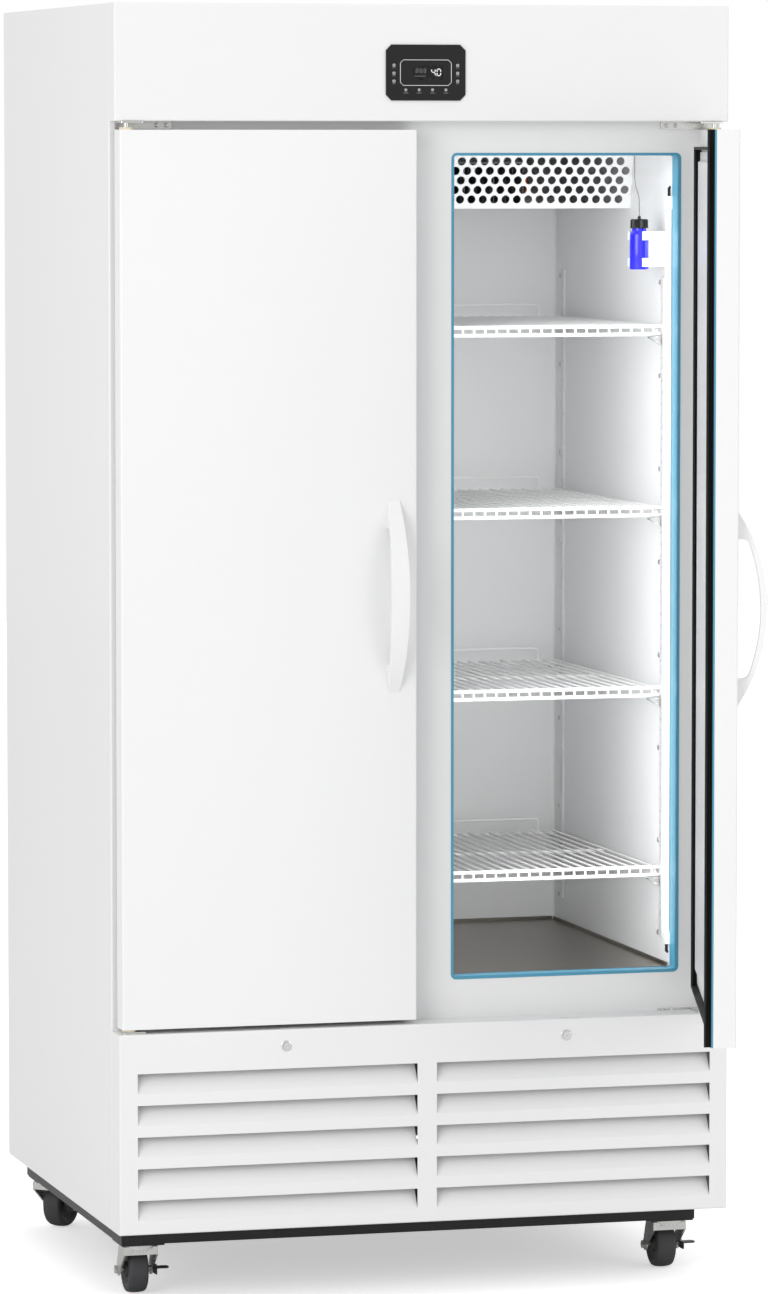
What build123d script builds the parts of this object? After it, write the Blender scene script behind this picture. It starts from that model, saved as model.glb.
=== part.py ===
from build123d import *
import math
import os

os.makedirs("parts", exist_ok=True)

# Two-door laboratory refrigerator on casters. Millimetres, X to the right, Y to the back, Z up from the floor.
# It stands as in use: left door closed, right door swung open. The origin is under the middle of that pose.

# Cabinet
overall_height = 2070
cabinet_width = 1013
cabinet_depth = 800
cabinet_bottom = 120.5
sheet = 1.2
sheet_corner = 3
side_return = 12
header_height = 185
header_reach = 42.5
lower_panel_height = 321
lower_panel_reach = 56.5
panel_bend = 2.5
seat = 0.3

# Doors
door_gap = 31
door_side_inset = 7
door_thickness = 38
door_foot_gap = 7
door_head_gap = 13.5
door_edge_radius = 3
gasket_depth = 11.7
gasket_width = 11.5
gasket_free_inset = 8
gasket_hinge_inset = 27
gasket_foot_inset = 31
gasket_head_inset = 23.5
gasket_base = 3.2
gasket_neck_depth = 3.5
gasket_neck_inset = 3
door_liner_sheet = 2
liner_draft = 30
door_liner_depth = 5
pivot_inset = 13.8
pivot_setback = 16
open_angle = 74.6

# Handles
handle_drop = 29.5
handle_length = 306
handle_reach = 46
handle_bar = 9
handle_foot = 42
handle_end_width = 19
handle_middle_width = 29
handle_centre_inset = 38.5
handle_corner = 8
handle_edge_radius = 3

# Openings, walls and room inside
mullion_width = 110
stile_width = 66
opening_foot_gap = 62.5
opening_head_gap = 50
opening_corner = 9
frame_depth = 32
breaker_thickness = 4.5
breaker_proud = 0.6
rear_wall = 118
floor_step = 4
ceiling_step = 15
liner_sheet = 1
liner_corner = 6
insulated_roof = 70
floor_pan_sheet = 1.2
floor_pan_lip = 7

# Evaporator
cover_front = 238
cover_lean = 17
cover_rise = 106.5
hole_pitch = 19.45
hole_row_pitch = 15.85
hole_radius = 7.1
hole_rows = 5
holes_in_long_row = 16
hole_first_row = 15
hole_edge_margin = 12
coil_end_room = 156
coil_setback = 100
coil_depth = 120
coil_height = 74
coil_fins = 12
coil_fin_thickness = 1
coil_tube_radius = 5
coil_tube_reach = 5
coil_plate = 2
motor_setback = 41
evaporator_fan_radius = 34

# Shelf hardware
standard_pitch = 19.05
standard_width = 20
standard_thickness = 2.5
standard_foot = 44
standard_head = 109.5
front_standard_centre = 75
rear_standard_inset = 48
post_width = 20
shelf_count = 4
first_shelf_rise = 162
top_shelf_room = 187.3
shelf_front = 80
shelf_back_gap = 40
shelf_side_gap = 1
shelf_rail_radius = 3
shelf_wire_radius = 2
shelf_truss_height = 19
shelf_truss_posts = 5
shelf_side_inset = 4.5
shelf_stop_rise = 19
shelf_stop_pitches = 9
clip_width = 16
clip_reach = 12
clip_height = 22
clip_thickness = 2

# Light strips and probe
light_width = 16
light_thickness = 6
light_foot = 37
light_head = 85
bottle_radius = 15.5
bottle_height = 67
bottle_drop = 204
bottle_foot_chamfer = 1
bottle_side_gap = 45
bottle_setback = 66
cap_height = 20
cap_radius = 15
bracket_thickness = 3
bracket_arm_height = 14
bracket_web_width = 16
bracket_height = 57
bracket_mouth = 28
cap_gland_radius = 2.7
gland_rise = 5
wire_straight = 20
wire_bend_radius = 60
wire_bend = 21
probe_wire_radius = 0.9

# Controller
bezel_width = 131
bezel_height = 88.5
bezel_corner = 9
bezel_proud = 2.2
bezel_drop = 15.5
bezel_body_depth = 30
bezel_body_inset = 6
window_width = 48
window_height = 21.5
window_shift = 3.75
window_sink = 1

# Louvres
louvre_rows = 5
louvre_height = 31.4
louvre_side_margin = 29.5
louvre_middle_margin = 16
louvre_first_rise = 23.5
louvre_head_room = 62.9
louvre_depth = 20
lock_side_inset = 273.5
lock_drop = 26.5
lock_radius = 5.8
lock_shank_radius = 4.8
lock_proud = 2
lock_length = 26
lock_cam_length = 31.5
lock_cam_width = 12
lock_cam_thickness = 2.5
lock_cam_chamfer = 3
lock_cam_depth = 12
lock_slot_clearance = 1.5
keyway_width = 1.2
switch_slot_length = 25
switch_slot_width = 4
switch_slot_inset = 136.5
switch_slot_setback = 16

# Hinges
pin_radius = 4.5
pin_clearance = 0.2
pin_engagement = 14
bushing_side = 18
bushing_head_radius = 11
bushing_depth = 16
leaf_thickness = 3
leaf_length = 92
leaf_edge = 11
leaf_block = 37
bracket_flange = 12.6

# Base frame and casters
base_inset = 24
base_front_inset = 38
rail_width = 45
base_height = 32
deck_thickness = 2
caster_plate = 70
caster_plate_thickness = 3
caster_side_inset = 60.5
caster_end_inset = 76
caster_trail = 28
kingpin_radius = 6
wheel_radius = 38
wheel_width = 32
tread_width = 16
tread_drop = 3.5
tyre_wall = 11
hub_step = 14
hub_recess = 3
hub_radius = 13
hub_half_width = 19
axle_radius = 4
running_gap = 0.2
raceway_radius = 28
raceway_height = 7
raceway_neck = 3
fork_width = 56
fork_sheet = 3
fork_reach = 20
fork_boss_radius = 10
nut_radius = 7
nut_height = 5
pedal_sheet = 2.5
pedal_arm = 30
pedal_arm_height = 12
pedal_boss_radius = 8
pedal_tab_reach = 20
pedal_tab_length = 16
pedal_tab_chamfer = 4
caster_swivels = {"front_left": 0, "front_right": 0, "rear_left": -43, "rear_right": 20}

# Refrigeration unit
compressor_radius = 82
compressor_height = 205
compressor_dome = 40
compressor_crown_radius = 40
compressor_foot = 8
compressor_foot_depth = 131
terminal_lid_width = 82
terminal_lid_height = 41
terminal_lid_reach = 26
compressor_offset = 232
machine_gap = 26
condenser_width = 300
condenser_height = 230
condenser_depth = 76
condenser_fins = 24
condenser_fan_radius = 95
condenser_fan_room = 56
condenser_stand_off = 12
header_bar = 5
fan_blades = 5
fan_hub_radius = 15
fan_hub_depth = 16
fan_blade_thickness = 1.6
fan_blade_turn = 28
fan_blade_overlap = 4.5
evaporator_blade_root = 8.5
evaporator_blade_tip = 17
condenser_blade_root = 24
condenser_blade_tip = 48
evaporator_strap = 136
condenser_motor_radius = 30
condenser_motor_depth = 30
condenser_post_width = 30
gland_reach = 14
gland_radius = 11
gland_inset = 44
gland_nose_radius = 7.7
gland_taper = 8
vent_slots = 9
vent_slot_length = 380
vent_slot_height = 8
vent_pitch = 24
post_size = 30

# Places worked out from the sizes above
turn = math.radians(open_angle)
door_width = (cabinet_width - door_gap) / 2 - door_side_inset
door_face = seat + gasket_depth + door_thickness
door_reach = (
    door_face
    - pivot_setback
    + (door_width - pivot_inset) * math.sin(turn)
    + pivot_setback * math.cos(turn)
)
front = -(cabinet_depth + gland_reach - door_reach) / 2
back = front + cabinet_depth
half_width = cabinet_width / 2
header_bottom = overall_height - header_height
panel_top = cabinet_bottom + lower_panel_height
door_bottom = panel_top + door_foot_gap
door_top = header_bottom - door_head_gap
door_height = door_top - door_bottom
door_middle = (door_bottom + door_top) / 2
door_edge = half_width - door_side_inset
door_centre = door_edge - door_width / 2
pivot_x = door_edge - pivot_inset
pivot_y = front - door_face + pivot_setback
pivot_axis = Axis((pivot_x, pivot_y, 0), (0, 0, 1))
opening_width = half_width - mullion_width / 2 - stile_width
opening_centre = mullion_width / 2 + opening_width / 2
opening_bottom = panel_top + opening_foot_gap
opening_height = header_bottom - opening_head_gap - opening_bottom
opening_middle = opening_bottom + opening_height / 2
interior_half = opening_centre + opening_width / 2 - breaker_thickness
interior_back = back - rear_wall
interior_floor = opening_bottom + floor_step
interior_top = opening_bottom + opening_height + ceiling_step
interior_height = interior_top - interior_floor
cover_bottom = interior_top - cover_rise
frame_back = front + frame_depth
frame_half = half_width - side_return
first_shelf_top = interior_floor + first_shelf_rise
shelf_spacing = (cover_bottom - top_shelf_room - first_shelf_top) / (shelf_count - 1)
shelf_tops = [first_shelf_top + level * shelf_spacing for level in range(shelf_count)]
standard_bottom = interior_floor + standard_foot
standard_length = cover_bottom - standard_head - standard_bottom
shelf_inner = post_width / 2 + shelf_side_gap
shelf_outer = interior_half - standard_thickness - shelf_side_gap
bushing_head = door_foot_gap - leaf_thickness - seat
bottle_x = interior_half - bottle_side_gap
bottle_y = front + bottle_setback
bottle_bottom = interior_top - bottle_drop
standard_lines = [front + front_standard_centre, interior_back - rear_standard_inset]
caster_height = cabinet_bottom - base_height
raceway_top = caster_height - caster_plate_thickness - seat
raceway_bottom = raceway_top - raceway_height
base_half = half_width - base_inset
base_front = front + base_front_inset
base_back = back - base_front_inset
lock_height = panel_top - lock_drop
lock_x = half_width - lock_side_inset
switch_slot_x = half_width - switch_slot_inset
handle_height = door_middle - handle_drop
panel_face = front - lower_panel_reach
header_face = front - header_reach


def save(shape, node):
    """Label one finished piece and write it under its node name."""
    shape.label = node
    export_step(shape, f"parts/{node}.step")


def facing(y):
    """Sketch plane seen from the front: local x is X, local y is Z, and its normal points forwards."""
    return Plane.XZ.offset(-y)


def mirrored(shape):
    """The left-hand twin of a right-hand piece."""
    return mirror(shape, about=Plane.YZ)


def group(shapes):
    """Separate solids that share one node."""
    return Compound(children=[solid for shape in shapes for solid in shape.solids()])


# Cabinet sheets and walls


def side_panel(side):
    """A side sheet whose front and rear edges are folded in."""
    outer = side * half_width
    with BuildPart() as panel:
        with BuildSketch(Plane.XY.offset(cabinet_bottom)) as plan:
            with Locations((outer - side * side_return / 2, front + cabinet_depth / 2)):
                Rectangle(side_return, cabinet_depth)
            outer_corners = plan.vertices().group_by(Axis.X)[-1 if side > 0 else 0]
            fillet(outer_corners, sheet_corner)
            with Locations((outer - side * (side_return + sheet) / 2, front + cabinet_depth / 2)):
                Rectangle(side_return - sheet, cabinet_depth - 2 * sheet, mode=Mode.SUBTRACT)
        extrude(amount=overall_height - cabinet_bottom)
    return panel.part


def top_panel():
    """The roof sheet, folded down along its front and rear."""
    with BuildPart() as panel:
        with BuildSketch(Plane.XY.offset(overall_height - side_return)):
            with Locations((0, front + cabinet_depth / 2)):
                Rectangle(cabinet_width - 2 * sheet, cabinet_depth - 2 * sheet)
        extrude(amount=side_return)
        with BuildSketch(Plane.XY.offset(overall_height - side_return)):
            with Locations((0, front + cabinet_depth / 2)):
                Rectangle(cabinet_width - 2 * sheet, cabinet_depth - 4 * sheet)
        extrude(amount=side_return - sheet, mode=Mode.SUBTRACT)
    return panel.part


def rear_panel():
    """The rear sheet between the side returns, slotted behind the machine room, with the cord gland."""
    middle = (cabinet_bottom + overall_height) / 2
    vents_middle = (cabinet_bottom + panel_top) / 2
    with BuildPart() as panel:
        with BuildSketch(facing(back)):
            with Locations((0, middle)):
                Rectangle(2 * frame_half, overall_height - cabinet_bottom)
            with Locations((0, vents_middle)):
                with GridLocations(0, vent_pitch, 1, vent_slots):
                    Rectangle(vent_slot_length, vent_slot_height, mode=Mode.SUBTRACT)
        extrude(amount=sheet)
    with BuildPart() as gland:
        with BuildSketch(facing(back)):
            with Locations((gland_inset - frame_half, vents_middle)):
                RegularPolygon(gland_radius, 6)
        extrude(amount=-gland_reach / 2)
        with BuildSketch(facing(back + gland_reach / 2)):
            with Locations((gland_inset - frame_half, vents_middle)):
                RegularPolygon(gland_nose_radius, 12)
        extrude(amount=-gland_reach / 2, taper=gland_taper)
    return group([panel.part, gland.part])


def slab(low, high):
    """A plain block of wall insulation between two corners."""
    with BuildPart() as block:
        with BuildSketch(Plane.XY.offset(low[2])):
            with Locations(((low[0] + high[0]) / 2, (low[1] + high[1]) / 2)):
                Rectangle(high[0] - low[0], high[1] - low[1])
        extrude(amount=high[2] - low[2])
    return block.part


def insulation():
    """Foamed walls round the cold room: two sides, rear, ceiling and floor."""
    skin = half_width - sheet
    wall = interior_half + liner_sheet
    top = interior_top + liner_sheet
    bottom = interior_floor - liner_sheet
    rear = interior_back + liner_sheet
    roof = top + insulated_roof
    return group([
        slab((wall, frame_back, panel_top), (skin, back - sheet, roof)),
        slab((-skin, frame_back, panel_top), (-wall, back - sheet, roof)),
        slab((-wall + seat, rear, panel_top), (wall - seat, back - sheet, roof)),
        slab((-wall + seat, frame_back, top), (wall - seat, rear - seat, roof)),
        slab((-wall + seat, frame_back, panel_top), (wall - seat, rear - seat, bottom)),
    ])


def inner_liner():
    """The one-piece white liner of the cold room, open at the front."""
    with BuildPart() as liner:
        with BuildSketch(Plane.XY.offset(interior_floor - liner_sheet)) as plan:
            with Locations((0, (frame_back + interior_back + liner_sheet) / 2)):
                Rectangle(2 * (interior_half + liner_sheet), interior_back + liner_sheet - frame_back)
            fillet(plan.vertices().group_by(Axis.Y)[-1], liner_corner + liner_sheet)
        extrude(amount=interior_height + 2 * liner_sheet)
        with BuildSketch(Plane.XY.offset(interior_floor)) as room:
            with Locations((0, (frame_back + interior_back) / 2)):
                Rectangle(2 * interior_half, interior_back - frame_back)
            fillet(room.vertices().group_by(Axis.Y)[-1], liner_corner)
        extrude(amount=interior_height, mode=Mode.SUBTRACT)
    return liner.part


def face_frame():
    """The foamed front frame with its centre mullion, pierced by the two door openings."""
    top = interior_top + liner_sheet + insulated_roof
    with BuildPart() as frame:
        with BuildSketch(facing(front)):
            with Locations((0, (panel_top + top) / 2)):
                Rectangle(2 * frame_half, top - panel_top)
            with Locations((-opening_centre, opening_middle), (opening_centre, opening_middle)):
                RectangleRounded(opening_width, opening_height, opening_corner, mode=Mode.SUBTRACT)
        extrude(amount=-frame_depth)
    return frame.part


def breaker_strips():
    """Blue thermal-break strips that line the two openings."""
    clear_width = opening_width - 2 * breaker_thickness
    clear_height = opening_height - 2 * breaker_thickness
    with BuildPart() as strips:
        with BuildSketch(facing(front - breaker_proud)):
            with Locations((-opening_centre, opening_middle), (opening_centre, opening_middle)):
                RectangleRounded(opening_width, opening_height, opening_corner)
                inner_corner = opening_corner - breaker_thickness
                RectangleRounded(clear_width, clear_height, inner_corner, mode=Mode.SUBTRACT)
        extrude(amount=-frame_depth - breaker_proud)
    return strips.part


def floor_pan():
    """The stainless tray on the liner floor, with low turned-up edges."""
    width = 2 * (interior_half - liner_corner / 2)
    depth = interior_back - frame_back - liner_corner / 2
    centre = frame_back + depth / 2
    with BuildPart() as pan:
        with BuildSketch(Plane.XY.offset(interior_floor)):
            with Locations((0, centre)):
                RectangleRounded(width, depth, liner_corner)
        extrude(amount=floor_pan_lip)
        with BuildSketch(Plane.XY.offset(interior_floor + floor_pan_sheet)):
            with Locations((0, centre - floor_pan_sheet)):
                Rectangle(width - 2 * floor_pan_sheet, depth)
        extrude(amount=floor_pan_lip, mode=Mode.SUBTRACT)
    return pan.part


def fold_box(low, high, face):
    """A folded front cover: a tray of sheet that is open at the rear."""
    width = 2 * half_width
    height = high - low
    with BuildPart() as box:
        with BuildSketch(facing(face)):
            with Locations((0, (low + high) / 2)):
                Rectangle(width, height)
        extrude(amount=face - front)
        fillet(box.faces().sort_by(Axis.Y)[0].edges(), panel_bend)
        with BuildSketch(facing(front)):
            with Locations((0, (low + high) / 2)):
                Rectangle(width - 2 * sheet, height - 2 * sheet)
        extrude(amount=front - face - sheet, mode=Mode.SUBTRACT)
    return box.part


def header_panel():
    """The top cover with the cut-out for the controller."""
    with BuildPart() as panel:
        add(fold_box(header_bottom, overall_height, header_face))
        with BuildSketch(facing(header_face)):
            with Locations((0, bezel_middle())):
                Rectangle(bezel_width - 2 * bezel_body_inset, bezel_height - 2 * bezel_body_inset)
        extrude(amount=-2 * sheet, mode=Mode.SUBTRACT)
    return panel.part


def louvre_places():
    """Centres of the louvre openings as seen from the front."""
    column = (half_width - louvre_side_margin + louvre_middle_margin) / 2
    lowest = cabinet_bottom + louvre_first_rise + louvre_height / 2
    highest = panel_top - louvre_head_room - louvre_height / 2
    pitch = (highest - lowest) / (louvre_rows - 1)
    return [(side * column, lowest + row * pitch) for side in (-1, 1) for row in range(louvre_rows)]


def louvre_width():
    """Length of each louvre, from the side margin to the middle one."""
    return half_width - louvre_side_margin - louvre_middle_margin


def lower_panel():
    """The bottom cover: ten pressed louvres, two lock holes and the slots in its top ledge."""
    with BuildPart() as panel:
        add(fold_box(cabinet_bottom, panel_top, panel_face))
        with BuildSketch(facing(panel_face)):
            with Locations(louvre_places()):
                Rectangle(louvre_width(), louvre_height)
            with Locations((-lock_x, lock_height), (lock_x, lock_height)):
                Circle(lock_shank_radius + pin_clearance)
        extrude(amount=-2 * sheet, mode=Mode.SUBTRACT)
        for x, z in louvre_places():
            with BuildSketch(Plane.YZ.offset(x - louvre_width() / 2)):
                with BuildLine():
                    foot = (panel_face, z - louvre_height / 2 - sheet)
                    head = (panel_face + louvre_depth, z + louvre_height / 2 - 2 * sheet)
                    Polyline(foot, head, (head[0] + sheet, head[1]), (foot[0] + sheet, foot[1]), close=True)
                make_face()
            extrude(amount=louvre_width())
        with BuildSketch(Plane.XY.offset(panel_top)):
            with Locations((switch_slot_x, front - switch_slot_setback),
                           (-switch_slot_x, front - switch_slot_setback)):
                Rectangle(switch_slot_length, switch_slot_width)
            for side in (-1, 1):
                with Locations((side * lock_x + lock_slot_offset(), lock_cam_line())):
                    Rectangle(lock_slot_size(), lock_cam_thickness + 2 * lock_slot_clearance)
        extrude(amount=-2 * sheet, mode=Mode.SUBTRACT)
    return panel.part


def lock_cam_line():
    """Depth at which the lock cams turn."""
    return panel_face + lock_cam_depth + lock_cam_thickness / 2


def lock_slot_sweep():
    """How far beside its axis a rising cam passes the ledge."""
    rise = lock_drop - 2 * sheet
    return math.sqrt(lock_cam_length**2 - rise**2)


def lock_slot_size():
    """Length of the slot that a turning cam needs."""
    return lock_slot_sweep() + lock_cam_width + 2 * lock_slot_clearance


def lock_slot_offset():
    """Middle of that slot, beside the lock's axis on the side from which the cam rises."""
    return lock_slot_sweep() / 2


def base_frame():
    """Rails under the cabinet, the deck, the uprights round the machine room and the caster plates."""
    depth = base_back - base_front
    rail_height = cabinet_bottom - caster_height - deck_thickness
    middle = (base_front + base_back) / 2
    deck_z = cabinet_bottom - deck_thickness
    with BuildPart() as long_rails:
        with BuildSketch(Plane.XY.offset(caster_height)):
            with Locations((0, base_front + rail_width / 2), (0, base_back - rail_width / 2)):
                Rectangle(2 * base_half, rail_width)
        extrude(amount=rail_height)
    with BuildPart() as cross_rails:
        with BuildSketch(Plane.XY.offset(caster_height)):
            with Locations((base_half - rail_width / 2, middle), (-base_half + rail_width / 2, middle)):
                Rectangle(rail_width, depth - 2 * rail_width)
        extrude(amount=rail_height)
    with BuildPart() as deck:
        with BuildSketch(Plane.XY.offset(deck_z)):
            with Locations((0, middle)):
                Rectangle(2 * base_half, depth)
        extrude(amount=deck_thickness)
    with BuildPart() as uprights:
        with BuildSketch(Plane.XY.offset(cabinet_bottom)):
            with Locations((0, (front + frame_depth + back) / 2)):
                across = 2 * base_half - post_size
                with GridLocations(across, cabinet_depth - frame_depth - 2 * base_front_inset, 2, 2):
                    Rectangle(post_size, post_size)
                    Rectangle(post_size - 2 * deck_thickness, post_size - 2 * deck_thickness, mode=Mode.SUBTRACT)
        extrude(amount=lower_panel_height)
    with BuildPart() as plates:
        with BuildSketch(Plane.XY.offset(caster_height)):
            with Locations(caster_places()):
                Rectangle(caster_plate, caster_plate)
        extrude(amount=-caster_plate_thickness)
        with BuildSketch(Plane.XY.offset(caster_height)):
            with Locations(caster_places()):
                Circle(kingpin_radius)
        extrude(amount=-caster_plate_thickness - raceway_height)
    return group([long_rails.part, cross_rails.part, deck.part, uprights.part, plates.part])


# Controller and light


def bezel_middle():
    """Height of the controller's centre."""
    return (header_bottom + overall_height) / 2 - bezel_drop


def controller_housing():
    """The black bezel with clipped corners, its body behind the panel and the recess for the window."""
    with BuildPart() as housing:
        with BuildSketch(facing(header_face)) as outline:
            with Locations((0, bezel_middle())):
                Rectangle(bezel_width, bezel_height)
            chamfer(outline.vertices(), bezel_corner)
        extrude(amount=bezel_proud)
        with BuildSketch(facing(header_face)):
            with Locations((0, bezel_middle())):
                Rectangle(bezel_width - 2 * bezel_body_inset - seat, bezel_height - 2 * bezel_body_inset - seat)
        extrude(amount=-bezel_body_depth)
        with BuildSketch(facing(header_face - bezel_proud)):
            with Locations((window_shift, bezel_middle())):
                Rectangle(window_width, window_height)
        extrude(amount=-window_sink - bezel_proud / 2, mode=Mode.SUBTRACT)
    return housing.part


def controller_window():
    """The clear window over the temperature display, flush in its recess."""
    with BuildPart() as window:
        with BuildSketch(facing(header_face - bezel_proud + seat)):
            with Locations((window_shift, bezel_middle())):
                Rectangle(window_width, window_height)
        extrude(amount=-window_sink - bezel_proud / 2 + seat)
    return window.part


def light_strips():
    """A lamp profile with end caps along the front of each side wall."""
    line = frame_back + seat + light_width / 2
    with BuildPart() as strips:
        with BuildSketch(Plane.XY.offset(interior_floor + light_foot)) as section:
            with Locations((interior_half - light_thickness / 2, line)):
                RectangleRounded(light_thickness, light_width, light_thickness / 3)
        extrude(amount=interior_height - light_foot - light_head)
    return group([strips.part, mirrored(strips.part)])


# Evaporator


def cover_slope():
    """Plane of the leaning perforated face, with its origin on the lower edge."""
    rise = interior_top - cover_bottom
    run = cover_lean * rise / (hole_row_pitch * (hole_rows + 1))
    lower = Vector(0, front + cover_front + cover_lean, cover_bottom)
    up = Vector(0, -run, rise).normalized()
    return Plane(origin=lower, x_dir=(1, 0, 0), z_dir=Vector(1, 0, 0).cross(up))


def evaporator_cover():
    """The leaning perforated grille with its return under the coil, from wall to wall."""
    slope = cover_slope()
    height = (interior_top - cover_bottom) / slope.y_dir.Z - seat
    half = interior_half - seat
    field = half - hole_edge_margin - hole_pitch * (holes_in_long_row - 1) / 2
    rows = [hole_first_row + row * hole_row_pitch for row in range(hole_rows)]
    with BuildPart() as cover:
        with BuildSketch(slope):
            with Locations((0, height / 2)):
                Rectangle(2 * half, height)
            for row, rise in enumerate(rows):
                holes = holes_in_long_row - (row + 1) % 2
                with Locations((-field, rise), (field, rise)):
                    with GridLocations(hole_pitch, 0, holes, 1):
                        RegularPolygon(hole_radius, 6, mode=Mode.SUBTRACT)
        extrude(amount=-sheet)
        with BuildSketch(Plane.XY.offset(cover_bottom)):
            floor_back = interior_back - liner_corner
            with Locations((0, (slope.origin.Y + floor_back) / 2)):
                Rectangle(2 * half, floor_back - slope.origin.Y)
        extrude(amount=sheet)
    return cover.part


def coil_front():
    """Depth at which the finned coil starts, behind the fan."""
    return front + cover_front + cover_lean + coil_setback


def evaporator_coil():
    """Fins between two plates, the tube bends at both ends, and the fan motor on its strap in front."""
    middle = cover_bottom + sheet + coil_height / 2
    start = coil_front()
    coil_length = 2 * (interior_half - coil_end_room)
    spacing = coil_length / (coil_fins - 1)
    with BuildPart() as coil:
        with Locations((0, start + coil_depth / 2, middle)):
            with GridLocations(spacing, 0, coil_fins, 1):
                Box(coil_fin_thickness, coil_depth, coil_height)
            for side in (-1, 1):
                with Locations((0, 0, side * (coil_height - coil_plate) / 2)):
                    Box(coil_length, coil_depth, coil_plate)
        for side in (-1, 1):
            with BuildSketch(Plane.YZ.offset(side * coil_length / 2)):
                with Locations((start + coil_depth / 2, middle)):
                    with GridLocations(coil_depth / 2, 0, 2, 1):
                        SlotOverall(coil_height / 2 + 2 * coil_tube_radius, 2 * coil_tube_radius, rotation=90)
            extrude(amount=side * (coil_fin_thickness / 2 + coil_tube_reach))
    motor_front = evaporator_motor_front()
    with BuildPart() as motor:
        with BuildSketch(facing(motor_front)):
            with Locations((0, middle)):
                RegularPolygon(fan_hub_radius, 8)
        extrude(amount=motor_front - start)
        with BuildSketch(facing(start - sheet)):
            with Locations((0, middle)):
                Rectangle(evaporator_strap, fan_hub_radius)
        extrude(amount=-sheet)
        with BuildSketch(facing(motor_front)):
            with Locations((0, middle)):
                Circle(pin_radius)
        extrude(amount=fan_hub_radius)
    return group([coil.part, motor.part])


def fan(radius, root, tip, nose, place):
    """An axial fan: a bored hub and flat pitched blades, whose hub nose lies at the given depth."""
    middle_x, middle_z = place
    with BuildPart() as wheel:
        with BuildSketch(facing(nose)):
            with Locations(place):
                RegularPolygon(fan_hub_radius, 10)
                Circle(pin_radius + pin_clearance, mode=Mode.SUBTRACT)
        extrude(amount=-fan_hub_depth)
        for blade in range(fan_blades):
            radial = Vector(1, 0, 0).rotate(Axis.Y, 360 / fan_blades * blade)
            pitched = Vector(0, -1, 0).rotate(Axis((0, 0, 0), radial), fan_blade_turn)
            spoke = Plane(origin=(middle_x, nose + fan_hub_depth / 2, middle_z), x_dir=radial, z_dir=pitched)
            with BuildSketch(spoke.offset(-fan_blade_thickness / 2)):
                with BuildLine():
                    inner = fan_hub_radius - fan_blade_overlap
                    Polyline((inner, -root / 2), (radius, -tip / 2), (radius, tip / 2), (inner, root / 2), close=True)
                make_face()
            extrude(amount=fan_blade_thickness)
    return wheel.part


def hub_nose(motor_front):
    """Depth of the nose of a hub that sits in front of a motor."""
    return motor_front - seat - fan_hub_depth


def evaporator_motor_front():
    """Depth of the front of the evaporator fan's motor."""
    return front + cover_front + cover_lean + motor_setback


# Shelf hardware


def shelf_standards():
    """Slotted standards on both side walls and two posts between the shelf columns."""
    with BuildPart() as strips:
        with BuildSketch(Plane.XY.offset(standard_bottom)):
            for line in standard_lines:
                with Locations((interior_half - standard_thickness / 2, line)):
                    Rectangle(standard_thickness, standard_width)
        extrude(amount=standard_length)
    with BuildPart() as posts:
        for line, top in zip(standard_lines, (interior_top, cover_bottom)):
            with BuildSketch(Plane.XY.offset(interior_floor + floor_pan_sheet)):
                with Locations((0, line)):
                    Rectangle(post_width, post_width)
            extrude(amount=top - interior_floor - floor_pan_sheet)
    return group([strips.part, mirrored(strips.part), posts.part])


def shelf_clips():
    """Triangular clips that hook into the standards under the corners of every shelf."""
    wall = interior_half - standard_thickness
    with BuildPart() as clips:
        for line in standard_lines:
            for top in shelf_tops:
                at_front = line == standard_lines[0]
                rest = top - (shelf_truss_height if at_front else shelf_rest_drop())
                for root, side in ((wall, -1), (post_width / 2, 1)):
                    with BuildSketch(facing(line - clip_width / 2)):
                        with BuildLine():
                            tip = (root + side * clip_reach, rest)
                            low = (root, rest - clip_height)
                            Polyline((root, rest), tip, (tip[0], rest - clip_thickness), low, close=True)
                        make_face()
                    extrude(amount=-clip_width)
    return group([clips.part, mirrored(clips.part)])


def shelf_rest_drop():
    """How far below a shelf's top its side and rear rails end."""
    return 2 * shelf_wire_radius + 2 * shelf_rail_radius


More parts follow.
